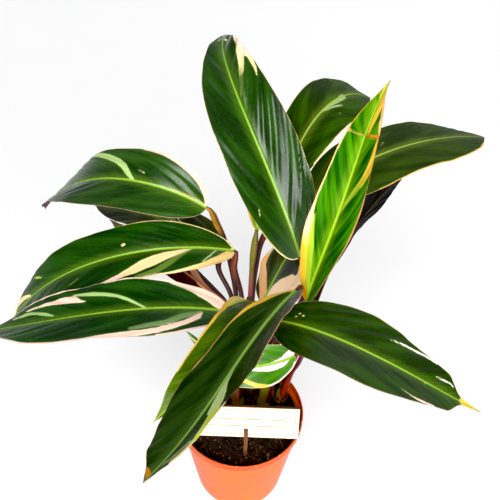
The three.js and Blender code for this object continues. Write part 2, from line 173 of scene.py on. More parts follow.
LEAVES = {name: {**USUAL_BLADE, **leaf} for name, leaf in LEAVES.items()}
SPEAR = {**USUAL_BLADE, **dict(
    shoot="left", base=(-20, 5, 168), heading=(190, 190, 190), rise=(65, 65, 60),
    length=65, radius=3.4, bow=[(-10, 9, 130)], roll=(0, 0))}


# ---------------------------------------------------------------- colours
def srgb(red, green, blue):
    """A colour given as 0 to 255 display values, in the linear light that shaders take."""
    def linear(value):
        share = value / 255
        return share / 12.92 if share <= 0.04045 else ((share + 0.055) / 1.055) ** 2.4
    return (linear(red), linear(green), linear(blue))


CREAM = srgb(240, 212, 152)
# Painted light: the pale pink of leaf_13's markings, lighter than its own colour to stand in for light on
# a leaf in shade.
PALE_PINK_PAINTED_LIT = srgb(255, 220, 178)
# Painted light: the yellow at leaf_08's base, lighter than its own yellow to stand in for light on the
# shaded base.
YELLOW_PAINTED_LIT = srgb(252, 216, 84)
# Painted light: the pale green of leaf_07's pale band, lighter than its own colour to stand in for light
# on its shaded half.
CELADON_PAINTED_LIT = srgb(212, 236, 158)
PINK = srgb(250, 214, 192)
BLUSH = srgb(236, 194, 174)
WHITE = srgb(250, 236, 222)
YELLOW = srgb(226, 180, 56)
GOLD = srgb(206, 134, 26)
# Painted shadow: the brown line just below the fold across leaf_03, where the folded tip shades the blade.
PAINTED_CREASE_SHADOW = srgb(112, 62, 16)
PEACH = srgb(232, 172, 110)
BUFF = srgb(228, 192, 124)
MOSS = srgb(88, 114, 36)
LIME = srgb(166, 190, 44)
OLIVE_LIME = srgb(150, 172, 40)
# Painted light: the lime of leaf_07's pale band, lighter than its own colour to stand in for light on its
# shaded half.
LIME_PAINTED_LIT = srgb(220, 236, 88)
PALE = srgb(146, 168, 106)
CELADON = srgb(164, 196, 116)
SAGE = srgb(100, 132, 74)
TAN = srgb(206, 146, 100)
SCORCH = srgb(60, 34, 18)

# Markings of each blade. A stroke is a colour and places (share of the length, column from
# -1 at the left margin to 1 at the right one, half of the stroke's width in millimetres).
MARKINGS = {
    "leaf_01": [
        (PINK, [(0.87, 1, 0.8), (0.83, 1, 2.8), (0.79, 0.97, 4.4), (0.76, 0.92, 4.2), (0.74, 0.9, 2.4)]),
        (CREAM, [(0.79, 0.82, 3), (0.75, 0.68, 2.8), (0.71, 0.54, 2.4), (0.68, 0.42, 1.8)]),
        (MOSS, [(0.7, 0.44, 1.4), (0.66, 0.33, 1.5), (0.62, 0.19, 0.9), (0.6, 0.12, 0.4)]),
        (CREAM, [(0.76, 0.98, 1.6), (0.71, 0.93, 1.6), (0.67, 0.88, 1), (0.64, 0.8, 0.3)]),
        (CREAM, [(0.9, 0.32, 0.7), (0.885, 0.42, 0.8)]),
        (LIME, [(0.93, -0.3, 0.5), (0.91, -0.42, 0.6)]),
        (CREAM, [(0.21, -0.78, 0.4), (0.23, -0.7, 0.3)]),
        (CREAM, [(0, -1, 0.6), (0.06, -1, 0.9), (0.14, -1, 0.6), (0.2, -1, 0.2)]),
        (PINK, [(0.38, -1, 0.2), (0.43, -1, 0.7), (0.5, -1, 0.3)]),
    ],
    "leaf_02": [
        (PALE, [(0.48, 0.02, 0.3), (0.56, 0.06, 1), (0.62, 0.07, 1.9), (0.68, 0.03, 2.6)]),
        (PALE, [(0.5, 0.06, 0.3), (0.58, 0.2, 0.8), (0.62, 0.3, 0.5)]),
        (CREAM, [(0.57, 0.47, 0.3), (0.575, 0.5, 0.4)]),
        (CREAM, [(0.26, 0.97, 0.5), (0.4, 1, 0.7), (0.6, 1, 0.6)]),
    ],
    "leaf_03": [
        (GOLD, [(0, 0, 3), (0.03, -0.6, 4), (0.08, -0.95, 5.4)]),
        (YELLOW, [(0.05, -0.9, 5), (0.13, -0.96, 7), (0.22, -0.98, 7), (0.29, -1, 5.6)]),
        (CREAM, [(0.27, -0.98, 5.4), (0.33, -1, 4.4), (0.4, -1, 2.8), (0.48, -1, 1.2), (0.75, -1, 0.6)]),
        (OLIVE_LIME, [
            (0.05, -0.1, 1.4), (0.12, -0.34, 2.2), (0.22, -0.58, 3), (0.32, -0.7, 1.8), (0.4, -0.8, 0.5)]),
        (YELLOW, [(0.745, 1, 1.2), (0.68, 0.97, 2.4), (0.62, 0.84, 2.8), (0.56, 0.6, 2.4)]),
        (OLIVE_LIME, [(0.58, 0.66, 2.2), (0.53, 0.42, 2.2), (0.48, 0.16, 1.4), (0.43, 0.04, 0.8)]),
        (YELLOW, [
            (0.99, 0.3, 1.6), (0.93, 0.42, 2.6), (0.87, 0.36, 2.6), (0.81, 0.24, 1.8), (0.765, 0.16, 1)]),
        (PEACH, [(0.96, 1, 1.2), (0.88, 1, 1.8), (0.8, 1, 1.8), (0.765, 1, 1.2)]),
        (GOLD, [(0.757, -1, 1), (0.753, -0.5, 0.5), (0.756, 0, 0.8), (0.751, 0.6, 1), (0.755, 1, 1.2)]),
        # Painted shadow: the brown line just below the fold.
        (PAINTED_CREASE_SHADOW, [(0.747, 0.2, 0.2), (0.744, 0.7, 0.4), (0.746, 1, 0.5)]),
        (TAN, [(0.1, 1, 0.5), (0.25, 1, 0.9), (0.45, 1, 0.9), (0.56, 1, 0.5)]),
    ],
    "leaf_04": [
        (YELLOW, [(0.3, 1, 0.5), (0.6, 1, 0.7), (0.92, 1, 0.6)]),
        (CREAM, [(0.28, -0.42, 0.3), (0.3, -0.5, 0.4)]),
        (CREAM, [(0.44, -0.3, 0.3), (0.46, -0.38, 0.4)]),
    ],
    "leaf_06": [
        (WHITE, [(0.5, -0.62, 0.2), (0.57, -0.73, 0.8), (0.64, -0.84, 0.9), (0.74, -1, 0.8)]),
        (WHITE, [(0.75, -0.45, 0.2), (0.79, -0.55, 0.7), (0.84, -0.7, 0.4)]),
        (PINK, [(0.6, 0.7, 0.3), (0.67, 0.87, 0.8), (0.74, 1, 0.9)]),
        (CREAM, [(0.09, -0.45, 0.7), (0.092, -0.45, 0.6)]),
        (CREAM, [(0.11, -0.38, 0.7), (0.112, -0.38, 0.6)]),
        (CREAM, [(0.08, -0.33, 0.6), (0.082, -0.33, 0.5)]),
        (YELLOW, [(0.7, 0.03, 1), (0.702, 0.03, 1)]),
        (YELLOW, [(0.9, 0, 3.2), (0.95, 0, 5), (1, 0, 5)]),
    ],
    "leaf_07": [
        (YELLOW, [(0, 1, 3), (0.05, 1, 5), (0.11, 1, 5), (0.17, 1, 3), (0.26, 1, 1.2), (0.4, 1, 0.6)]),
        (TAN, [(0.4, 1, 0.6), (0.46, 1, 1.5), (0.52, 1, 0.4)]),
        (TAN, [(0.06, -1, 0.7), (0.2, -1, 1.1), (0.34, -1, 0.9), (0.5, -1, 0.5)]),
        # The pale band below carries painted light: its colours are lighter than its own, for the shaded
        # half.
        (CELADON_PAINTED_LIT, [(0.48, -0.02, 1.4), (0.56, -0.12, 3.2), (0.63, -0.34, 5.6), (0.69, -0.54, 6.4)]),
        (LIME_PAINTED_LIT, [(0.7, -0.62, 4.6), (0.74, -0.78, 5.6), (0.79, -0.94, 5.4), (0.85, -1, 3.6)]),
        (CREAM, [(0.7, -1, 1.8), (0.8, -1, 3.2), (0.85, -1, 2.8), (0.92, -1, 1.6)]),
        (PALE, [(0.84, -0.7, 1.2), (0.89, -0.6, 1.2), (0.93, -0.5, 0.5)]),
        (GOLD, [(0.95, 0.9, 1.2), (0.975, 0.2, 1.5)]),
        (SCORCH, [(0.985, 0, 1.2), (1, 0, 2)]),
    ],
    "leaf_08": [
        # Its yellow base carries painted light: lighter than its own yellow, for the shaded base.
        (YELLOW_PAINTED_LIT, [(0, 0.8, 3), (0.05, 1, 8), (0.12, 1, 8), (0.2, 1, 6), (0.28, 1, 4)]),
        (YELLOW, [(0.28, 1, 4), (0.4, 1, 2.4), (0.6, 1, 1.2), (0.8, 1, 0.7)]),
        (LIME, [(0.08, 0.35, 1.2), (0.14, 0.55, 1.9), (0.22, 0.7, 1.4), (0.3, 0.82, 0.4)]),
    ],
    "leaf_09": [
        (CELADON, [
            (0.02, 0.36, 1), (0.05, 0.5, 1.6), (0.1, 0.6, 1.8), (0.16, 0.78, 1.3), (0.23, 0.92, 0.8)]),
        (PINK, [(0, 0.8, 6), (0.04, 1, 10), (0.1, 1, 9), (0.16, 1, 5.5), (0.23, 1, 2.5)]),
        (PINK, [(0.23, 1, 2), (0.3, 1, 1.2), (0.5, 1, 0.6)]),
        (CELADON, [
            (0.33, 0, 0.7), (0.36, 0.14, 0.8), (0.4, 0.32, 1.2), (0.44, 0.46, 1.2), (0.49, 0.57, 1.5)]),
        (CELADON, [(0.49, 0.57, 1.5), (0.55, 0.66, 1.8), (0.6, 0.72, 1.2), (0.64, 0.78, 0.4)]),
        (PINK, [
            (0.84, 0.66, 0.9), (0.75, 0.65, 1.4), (0.69, 0.62, 3.3), (0.63, 0.6, 3.5), (0.6, 0.49, 1.3)]),
        (PINK, [(0.6, 0.49, 1.3), (0.57, 0.43, 0.3)]),
        (PINK, [(0.62, 1, 0.6), (0.7, 1, 1.4), (0.8, 1, 1.2), (0.9, 1, 0.7)]),
        (CELADON, [
            (0.7, 0.13, 0.5), (0.74, 0.25, 1.4), (0.8, 0.42, 1.3), (0.84, 0.48, 1.5), (0.89, 0.47, 1.2)]),
        (SAGE, [
            (0.12, -0.19, 1), (0.2, -0.37, 2.4), (0.26, -0.57, 1.9),
            (0.33, -0.63, 1.9), (0.39, -0.71, 1.2)]),
        (PINK, [(0.12, -0.23, 0.8), (0.14, -0.44, 2.2), (0.19, -0.64, 2.1), (0.25, -0.76, 2.4)]),
        (PINK, [
            (0.25, -0.76, 2.4), (0.3, -0.83, 2.3), (0.37, -0.89, 2.7),
            (0.46, -0.94, 2.5), (0.54, -1, 1.8)]),
        (PINK, [(0.54, -1, 1.8), (0.65, -1, 1.3), (0.8, -1, 1), (0.95, -1, 0.8)]),
        (PINK, [(0, -0.8, 1), (0.07, -1, 1.6), (0.2, -1, 1.5), (0.3, -1, 0.8)]),
        (CREAM, [(0.93, -0.85, 0.4), (0.95, -0.8, 0.9)]),
    ],
    "leaf_10": [
        (MOSS, [
            (0.17, -0.1, 0.5), (0.2, -0.3, 1.2), (0.24, -0.56, 2), (0.29, -0.82, 2), (0.36, -0.96, 1.4)]),
        (CREAM, [(0.16, -0.04, 0.6), (0.21, -0.18, 2), (0.26, -0.3, 3.8), (0.3, -0.42, 5)]),
        (CREAM, [(0.3, -0.42, 5), (0.34, -0.54, 4.8), (0.37, -0.66, 4), (0.41, -0.76, 2.6)]),
        (PINK, [(0.41, -0.78, 2.4), (0.46, -0.88, 1.8), (0.52, -0.97, 1), (0.6, -1, 0.6)]),
        (BUFF, [(0, -0.5, 4), (0.04, -1, 7.5), (0.08, -1, 6.5), (0.12, -1, 4.6), (0.17, -1, 3.4)]),
        (PEACH, [(0.02, -1, 1.4), (0.08, -1, 1.6), (0.14, -1, 1)]),
        (CREAM, [(0.15, -1, 3.8), (0.2, -1, 2.4), (0.26, -1, 1.3), (0.4, -1, 0.5)]),
        (YELLOW, [(0.01, -0.3, 1.4), (0.05, -0.52, 1.4), (0.1, -0.74, 0.7)]),
        (CELADON, [(0.07, -0.07, 0.5), (0.1, -0.45, 0.6), (0.13, -0.72, 0.4)]),
        (CREAM, [(0.84, 0.08, 0.9), (0.9, 0.48, 2.6), (0.95, 1, 2), (1, 0.3, 2)]),
        (CREAM, [(0, 1, 0.9), (0.2, 1, 0.7), (0.4, 1, 0.3)]),
        (LIME, [(0.76, 0.44, 0.4), (0.78, 0.59, 0.7), (0.8, 0.72, 0.4)]),
        (CREAM, [(0.4, 0.33, 1), (0.405, 0.31, 1.2)]),
        (TAN, [(0.58, -0.42, 0.3), (0.62, -0.56, 0.4)]),
    ],
    "leaf_11": [
        (CELADON, [(0.6, 0.98, 1.6), (0.55, 0.88, 2.2), (0.48, 0.72, 2.5), (0.42, 0.56, 2.6)]),
        (CELADON, [(0.42, 0.56, 2.6), (0.38, 0.4, 2.5), (0.35, 0.2, 2), (0.32, 0.03, 1.2)]),
        (BLUSH, [
            (0, 0.9, 2.4), (0.04, 1, 3.8), (0.1, 1, 3.8), (0.16, 1, 3.2), (0.22, 1, 2), (0.32, 1, 0.8)]),
        (GOLD, [(0, 0.16, 0.2), (0.08, 0.09, 0.3), (0.16, 0.06, 0.2)]),
        (CREAM, [(0.31, 0.34, 0.3), (0.28, 0.28, 0.5)]),
        (SCORCH, [(0.99, 0, 1), (1, 0, 2)]),
    ],
    "leaf_12": [
        (PALE, [(0.3, 0.02, 0.6), (0.36, 0.14, 2), (0.42, 0.26, 2.6), (0.5, 0.36, 1.6)]),
        (WHITE, [(0.38, 0.43, 0.4), (0.34, 0.3, 0.6), (0.29, 0.14, 0.3)]),
    ],
    "leaf_13": [
        (PEACH, [(0.05, -0.2, 3), (0.17, -0.36, 5), (0.27, -0.62, 6), (0.43, -0.94, 5), (0.6, -1, 3)]),
        (CREAM, [(0.55, -1, 3), (0.75, -1, 2)]),
        # The pale areas below carry painted light: lighter than their own pink, for a leaf in shade.
        (PALE_PINK_PAINTED_LIT, [(0.03, 0.1, 2), (0.17, 0.22, 5.5), (0.3, 0.3, 7.5), (0.43, 0.42, 8), (0.6, 0.66, 7)]),
        (PALE_PINK_PAINTED_LIT, [(0.1, 1, 4), (0.3, 1, 9), (0.5, 1, 10), (0.66, 1, 9), (0.78, 1, 5), (0.88, 1, 2)]),
        (PALE_PINK_PAINTED_LIT, [(0.5, 0.7, 7), (0.64, 0.84, 7), (0.75, 0.95, 4)]),
    ],
    "leaf_14": [
        (WHITE, [(0, 0.9, 3), (0.06, 0.34, 4), (0.17, -0.04, 4), (0.26, -0.12, 3.6), (0.34, -0.15, 2.8)]),
        (WHITE, [(0.34, -0.15, 2.8), (0.5, -0.12, 0.8)]),
        (LIME, [(0.44, 0.1, 0.6), (0.56, 0.3, 1), (0.7, 0.5, 0.6)]),
        (YELLOW, [(0.34, -1, 1), (0.48, -0.85, 1.6), (0.62, -0.55, 1.5)]),
        (WHITE, [(0.02, -1, 1), (0.19, -1, 1.4), (0.36, -1, 1.2)]),
    ],
    "leaf_15": [
        (YELLOW, [(0, -0.8, 0.8), (0.2, -1, 0.6), (0.5, -1, 0.4)]),
        (YELLOW, [(0, 0.8, 0.8), (0.2, 1, 0.6), (0.5, 1, 0.4)]),
    ],
    "leaf_16": [
        (TAN, [(0.38, -0.9, 2.4), (0.3, -0.62, 3.6), (0.21, -0.1, 3.8), (0.1, 0.1, 2)]),
        (SAGE, [(0.7, 0, 6), (0.85, 0, 7), (1, 0, 6)]),
        (CREAM, [(0.7, -1, 0.8), (0.85, -1, 1), (0.97, -0.8, 1)]),
    ],
}

# How each blade looks. dark and light: the two greens of the ground. stripes: how much of
# their mix follows the veins, and vein_scale: how fine. rib: the midrib and its half width at
# the base. glow: how much of its colour spreads beside it. edge: the thin line along the
# margin. gloss: roughness. shine: specular level. ragged: how far the streaks tear the markings.
# under: the two colours of the underside, and its midrib. under_shine: its specular level.
# through: how much of a marking's colour the underside shows.
USUAL_LOOK = dict(
    dark=srgb(12, 40, 3), light=srgb(30, 68, 8), stripes=0.4, vein_scale=0.5,
    rib=srgb(138, 180, 50), rib_width=1.4, glow=0.3, edge=srgb(190, 150, 90), edge_width=0.35,
    gloss=0.28, shine=0.3, ragged=1.2,
    under=(srgb(24, 6, 12), srgb(70, 18, 32), srgb(150, 92, 60)), under_shine=0.2, through=0.6)
LOOKS = {
    "leaf_01": dict(
        dark=srgb(12, 38, 2), light=srgb(30, 66, 6), rib=srgb(124, 168, 44), gloss=0.22, shine=0.42),
    "leaf_02": dict(
        dark=srgb(20, 42, 2), light=srgb(44, 74, 8), rib=srgb(150, 172, 62), rib_width=1.1,
        gloss=0.5, shine=0.08),
    "leaf_03": dict(
        dark=srgb(12, 72, 1), light=srgb(66, 128, 6), stripes=0.6, vein_scale=0.14,
        rib=srgb(144, 182, 38), rib_width=2, glow=0.55, edge=srgb(206, 136, 60), edge_width=0.6,
        gloss=0.42, shine=0.03),
    "leaf_04": dict(
        dark=srgb(26, 44, 8), light=srgb(46, 66, 16), rib=srgb(150, 172, 70), rib_width=1.1,
        gloss=0.45, shine=0.1),
    # leaf_05's underside: its own dark maroon, darkened nearly to black as painted shade under leaf_04.
    "leaf_05": dict(under=(srgb(4, 3, 2), srgb(12, 10, 5), srgb(44, 32, 18)), under_shine=0.05),
    "leaf_06": dict(dark=srgb(18, 38, 1), light=srgb(36, 66, 3), glow=0.25, edge=srgb(200, 160, 96)),
    "leaf_07": dict(
        dark=srgb(20, 42, 8), light=srgb(46, 72, 24), rib=srgb(140, 180, 84), rib_width=2.4,
        edge=srgb(170, 116, 70), shine=0.08),
    "leaf_08": dict(
        dark=srgb(38, 66, 4), light=srgb(70, 96, 12), edge=srgb(196, 160, 50), shine=0.12),
    "leaf_09": dict(dark=srgb(5, 42, 1), light=srgb(30, 74, 12), edge=srgb(232, 200, 166)),
    "leaf_10": dict(dark=srgb(10, 44, 2), light=srgb(28, 68, 8)),
    "leaf_11": dict(
        dark=srgb(14, 46, 4), light=srgb(42, 78, 16), edge=srgb(226, 170, 150), shine=0.4,
        through=1.0),
    "leaf_12": dict(dark=srgb(36, 44, 18), light=srgb(66, 76, 36)),
    "leaf_13": dict(dark=srgb(16, 24, 2), light=srgb(48, 60, 12), edge=srgb(240, 190, 136)),
    "leaf_14": dict(dark=srgb(30, 78, 4), light=srgb(64, 120, 10), edge=srgb(240, 214, 150)),
    "leaf_15": dict(dark=srgb(44, 96, 6), light=srgb(96, 146, 20), edge=srgb(206, 180, 60)),
    "leaf_16": dict(under=(srgb(30, 8, 14), srgb(84, 24, 38), srgb(150, 92, 60)), through=0.92),
}


# ---------------------------------------------------------------- meshes
USUAL_CREASE = 50


def add_object(name, data):
    thing = bpy.data.objects.new(name, data)
    bpy.context.scene.collection.objects.link(thing)
    return thing


def make_piece(name, points, faces, materials, face_materials=None, crease=USUAL_CREASE):
    """A mesh object from millimetre points, smooth except across edges sharper than crease."""
    mesh = bpy.data.meshes.new(name)
    mesh.from_pydata((np.asarray(points, float) * MM).tolist(), [], faces)
    for material in materials:
        mesh.materials.append(material)
    if face_materials is not None:
        mesh.polygons.foreach_set("material_index", np.asarray(face_materials, np.int32))
    mesh.shade_smooth()
    mesh.set_sharp_from_angle(angle=math.radians(crease))
    mesh.update()
    return add_object(name, mesh)


def add_attribute(piece, name, values):
    """One number or one vector for each point of a piece, for its material to read."""
    values = np.asarray(values, np.float32)
    kind, field = ("FLOAT", "value") if values.ndim == 1 else ("FLOAT_VECTOR", "vector")
    attribute = piece.data.attributes.new(name, kind, "POINT")
    attribute.data.foreach_set(field, values.ravel())


def settle(piece, node):
    """Hands a finished piece to the frame in place of a CAD node."""
    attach(piece, "root")
    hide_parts(node)


def grid_faces(rows, columns, start=0, closed=False, flip=False):
    """Quads between neighbouring rows of points. closed joins the last column to the first."""
    faces = []
    for row in range(rows - 1):
        for column in range(columns if closed else columns - 1):
            beside = (column + 1) % columns
            here = start + row * columns + column
            right = start + row * columns + beside
            quad = (here, right, right + columns, here + columns)
            faces.append(quad[::-1] if flip else quad)
    return faces


def both_skins(first, second):
    """The points of two grids, one after the other."""
    return np.concatenate([first.reshape(-1, 3), second.reshape(-1, 3)])


def rim_faces(rows, columns):
    """Quads that close the gap between the margins of a grid of points and those of the next
    grid: first those along the left and right margins, then those along the foot and head."""
    size = rows * columns
    last = columns - 1
    end = (rows - 1) * columns
    sides, ends = [], []
    for a in range(0, end, columns):
        b = a + last
        sides.append((a, a + columns, a + columns + size, a + size))
        sides.append((b, b + size, b + columns + size, b + columns))
    for a in range(last):
        b = end + a
        ends.append((a, a + size, a + 1 + size, a + 1))
        ends.append((b, b + 1, b + 1 + size, b + size))
    return sides, ends


def tube_faces(rows, sides):
    """A closed tube: its wall and a fan at each end, which has one centre point."""
    faces = grid_faces(rows, sides, closed=True)
    first, last = rows * sides, rows * sides + 1
    top = (rows - 1) * sides
    for side in range(sides):
        beside = (side + 1) % sides
        faces.append((first, beside, side))
        faces.append((last, top + side, top + beside))
    return faces


def turned_over(faces):
    return [face[::-1] for face in faces]


def full_turn(steps):
    """Angles of evenly spaced points round a circle."""
    return np.arange(steps) * 2 * math.pi / steps


def round_points(centre, radius, turn, height):
    """Points at a distance and an angle from an upright axis."""
    x = centre[0] + radius * np.cos(turn)
    y = centre[1] + radius * np.sin(turn)
    return np.stack([x, y, np.broadcast_to(height, x.shape)], -1).reshape(-1, 3)


def ring_round(turn, sides, ups):
    """Directions round a path, at each of its points and for each angle."""
    return np.cos(turn)[None, :, None] * sides[:, None] + np.sin(turn)[None, :, None] * ups[:, None]


def tube_points(path, ring, girth):
    """Points of a tube round a path, then the middles of its two ends."""
    wall = path[:, None] + ring * girth[..., None]
    return np.concatenate([wall.reshape(-1, 3), path[:1], path[-1:]])


def tube_values(u, turn, at_ends=0):
    """Share of the length and a value that goes round, at each of tube_points."""
    return np.append(np.repeat(u, len(turn)), [0, 1]), np.append(np.tile(turn, len(u)), [at_ends] * 2)


def tube_grain(u, turn, length, radius):
    """Places on a tube as if it lay straight, for textures that follow it."""
    at, angle = tube_values(u, turn)
    return np.stack([at * length, radius * np.cos(angle), radius * np.sin(angle)], -1)


# ---------------------------------------------------------------- numbers
UNEVEN_WAVES = 4
UNEVEN_RATES = (0.7, 1.5)
UNEVEN_PEAK = 2.5


def smoothstep(value, low, high):
    share = np.clip((value - low) / (high - low), 0, 1)
    return share * share * (3 - 2 * share)


def bell(value, centre, width):
    return np.exp(-((value - centre) / width) ** 2)


def blend(first, second, share):
    """From the first colour at share 0 to the second at share 1."""
    return np.asarray(first) * (1 - share) + np.asarray(second) * share


def uneven(place, wavelength, seed):
    """A smooth irregular wave between about -1 and 1."""
    draw = np.random.default_rng(seed)
    waves = [(draw.uniform(*UNEVEN_RATES), draw.uniform(0, 2 * math.pi)) for _ in range(UNEVEN_WAVES)]
    turns = [np.sin(2 * math.pi * rate * place / wavelength + phase) for rate, phase in waves]
    return sum(turns) / UNEVEN_PEAK


# ---------------------------------------------------------------- leaf blades
MIDRIB_STEPS = 400
STATION_SPACING = 1.4
HALF_COLUMNS = 26
COLUMN_CROWDING = 1.3
EDGE_COLUMN = 0.985
DRIP_BEFORE = 0.05
DRIP_AFTER = 0.04

BLADE_THICKNESS = 0.55
MARGIN_THICKNESS = 0.25
MARGIN_COLUMN = 0.8
RIB_GROOVE = 0.45
RIB_GROOVE_WIDTH = 1.2
RIB_GROOVE_FADING = 0.6
RIB_NARROWING = 0.75
KEEL_HALF_WIDTH = 1.5
BLADE_CREASE = 60

MARGIN_UNEVENNESS = 0.25
MARGIN_UNEVEN_LENGTH = 30
MARGIN_HALF_SHIFT = 60

VEIN_LEAN = 1.6
VEIN_BEND = 0.04
PLEAT_WAVES = 9
PLEAT_LENGTHS = (5, 19)
PLEAT_SLANT = 0.35
PLEAT_START = (0.02, 0.3)
PLEAT_MARGIN_FADING = 0.6
PLEAT_UNEVENNESS = 0.4
PLEAT_UNEVEN_LENGTH = 90
PLEAT_UNEVEN_SHIFT = 40

CREASE_RISE = 0.6
CREASE_RISE_SHARE = 0.02
CREASE_FALL = 0.5
CREASE_FALL_SHARE = 0.03

STROKE_STEPS = 6
STROKE_BLEND = 0.6
STROKE_DEPTHS = (-8, 8)
FAR_OUTSIDE = -50.0
ALMOST_NOTHING = 1e-6
LEAST_WEIGHT = 1e-9


def through(values, u):
    """The curve through three values at the base, the middle and the tip."""
    first, middle, last = values
    return first * (1 - u) * (1 - 2 * u) + middle * 4 * u * (1 - u) + last * u * (2 * u - 1)


def direction(leaf, u):
    heading = np.radians(through(leaf["heading"], u))
    rise = np.radians(through(leaf["rise"], u))
    level = np.cos(rise)
    return np.stack([level * np.cos(heading), level * np.sin(heading), np.sin(rise)], -1)


def midrib_points(leaf, u):
    middles = (np.arange(MIDRIB_STEPS) + 0.5) / MIDRIB_STEPS
    steps = direction(leaf, middles) * leaf["length"] / MIDRIB_STEPS
    places = np.vstack([np.zeros(3), np.cumsum(steps, axis=0)]) + leaf["base"]
    knots = np.arange(MIDRIB_STEPS + 1) / MIDRIB_STEPS
    return np.stack([np.interp(u, knots, places[:, axis]) for axis in range(3)], -1)


def blade_frame(leaf, u):
    """The rolled frame at u: across points to the right half, up is the top face."""
    along = direction(leaf, u)
    heading = np.radians(through(leaf["heading"], u))
    level = np.stack([np.sin(heading), -np.cos(heading), np.zeros_like(heading)], -1)
    upright = np.cross(level, along)
    roll = np.radians(leaf["roll"][0] + (leaf["roll"][1] - leaf["roll"][0]) * u)[:, None]
    across = level * np.cos(roll) + upright * np.sin(roll)
    up = upright * np.cos(roll) - level * np.sin(roll)
    return across, up


def outline_share(leaf, u):
    """Half width as a share of the largest: a quarter ellipse, then a power curve to the tip."""
    widest = leaf["widest"]
    before = 1 - np.minimum(u / widest, 1)
    after = np.clip((u - widest) / (1 - widest), 0, 1)
    return np.where(u < widest, np.sqrt(1 - before ** 2), 1 - after ** leaf["point"])


def half_width(leaf, u):
    least = BASE_HALF_WIDTH + (TIP_HALF_WIDTH - BASE_HALF_WIDTH) * u
    drip = leaf["drip"]
    drawn_in = 1 - leaf["pinch"] * smoothstep(u, drip - DRIP_BEFORE, drip + DRIP_AFTER)
    return np.maximum(least, leaf["width"] / 2 * outline_share(leaf, u) * drawn_in)


def blade_stations(leaf):
    """Shares of the length, closer together at both ends."""
    count = int(leaf["length"] / STATION_SPACING)
    even = np.arange(count + 1) / count
    crowded = (1 - np.cos(math.pi * even)) / 2
    return (even + crowded) / 2


def blade_columns():
    """From -1 to 1, closer together at the midrib, with a last narrow one at each margin."""
    right = (np.arange(1, HALF_COLUMNS) / HALF_COLUMNS) ** COLUMN_CROWDING
    right = np.append(right, [EDGE_COLUMN, 1])
    return np.concatenate([-right[::-1], [0], right])


class BladeGrid:
    """The places of a blade's points: share of the length and column, and in millimetres the
    half width there, along and across the blade, and where on the midrib their side vein starts."""

    def __init__(self, leaf):
        self.u = blade_stations(leaf)
        self.share, self.column = np.meshgrid(self.u, blade_columns(), indexing="ij")
        self.spread = half_width(leaf, self.u)[:, None] * (1 + np.sign(self.column) * leaf["skew"])
        self.along = self.share * leaf["length"]
        self.across = self.column * self.spread
        reach = np.abs(self.across)
        self.vein = self.along - VEIN_LEAN * reach - VEIN_BEND * reach ** 2


def pleats(leaf, grid, seed):
    """Height of the uneven ridges that roughly follow the side veins, different in each half."""
    reach = np.abs(grid.across)
    height = np.zeros_like(grid.vein)
    for half, slope in zip((-1, 1), leaf["pleat"]):
        draw = np.random.default_rng(2 * seed + half + 1)
        for _ in range(PLEAT_WAVES):
            length = leaf["swell"] * draw.uniform(*PLEAT_LENGTHS)
            slant = draw.uniform(-PLEAT_SLANT, PLEAT_SLANT)
            phase = draw.uniform(0, 2 * math.pi)
            ridge = length * np.sin(2 * math.pi * (grid.vein + slant * reach) / length + phase)
            height += slope * ridge * (np.sign(grid.column) == half)
    typical_slope = 2 * math.pi * math.sqrt(PLEAT_WAVES / 2)
    share = np.abs(grid.column)
    fading = smoothstep(share, *PLEAT_START)
    fading = fading * (1 - PLEAT_MARGIN_FADING * smoothstep(share, MARGIN_COLUMN, 1))
    swelling = uneven(grid.vein + PLEAT_UNEVEN_SHIFT * grid.column, PLEAT_UNEVEN_LENGTH, seed)
    return height / typical_slope * fading * (1 + PLEAT_UNEVENNESS * swelling)


def ripple(grid, seed):
    """Height of the waves along the margins."""
    wave = np.sin(2 * math.pi * MARGIN_WAVES * grid.share + seed * MARGIN_PHASE_STEP + grid.column)
    place = grid.along + MARGIN_HALF_SHIFT * np.sign(grid.column)
    wave += MARGIN_UNEVENNESS * uneven(place, MARGIN_UNEVEN_LENGTH, seed)
    return MARGIN_WAVE * np.abs(grid.column) ** 3 * wave


def crease_lip(u, crease):
    """A sharp fold across the blade, where it once stood rolled."""
    before = np.exp(-np.clip(crease - u, 0, None) / CREASE_RISE_SHARE) * (u < crease)
    after = -np.exp(-np.clip(u - crease, 0, None) / CREASE_FALL_SHARE) * (u >= crease)
    return CREASE_RISE * before + CREASE_FALL * after


def blade_skins(leaf, grid, seed):
    """The points of the blade's top and underside."""
    across_way, up_way = blade_frame(leaf, grid.u)
    fold = math.radians(leaf["fold"])
    reach = np.abs(grid.column)
    fullness = np.minimum(1, grid.spread / (leaf["width"] / 4))
    groove = -RIB_GROOVE * bell(grid.across, 0, RIB_GROOVE_WIDTH) * (1 - RIB_GROOVE_FADING * grid.share)
    lift = grid.spread * (reach * math.sin(fold) - BLADE_ARCH * reach ** 2)
    lift = lift + ripple(grid, seed) * fullness + groove
    lift += pleats(leaf, grid, seed) * fullness
    if leaf["crease"]:
        lift += crease_lip(grid.share, leaf["crease"])
    top = midrib_points(leaf, grid.u)[:, None]
    top = top + across_way[:, None] * (grid.across * math.cos(fold))[..., None]
    top = top + up_way[:, None] * lift[..., None]

    keel = KEEL_DEPTH * (1 - grid.share) * bell(grid.across, 0, KEEL_HALF_WIDTH)
    thinning = smoothstep(reach, MARGIN_COLUMN, 1)
    thickness = BLADE_THICKNESS + (MARGIN_THICKNESS - BLADE_THICKNESS) * thinning
    bottom = top - up_way[:, None] * (thickness + keel + groove)[..., None]
    return top, bottom


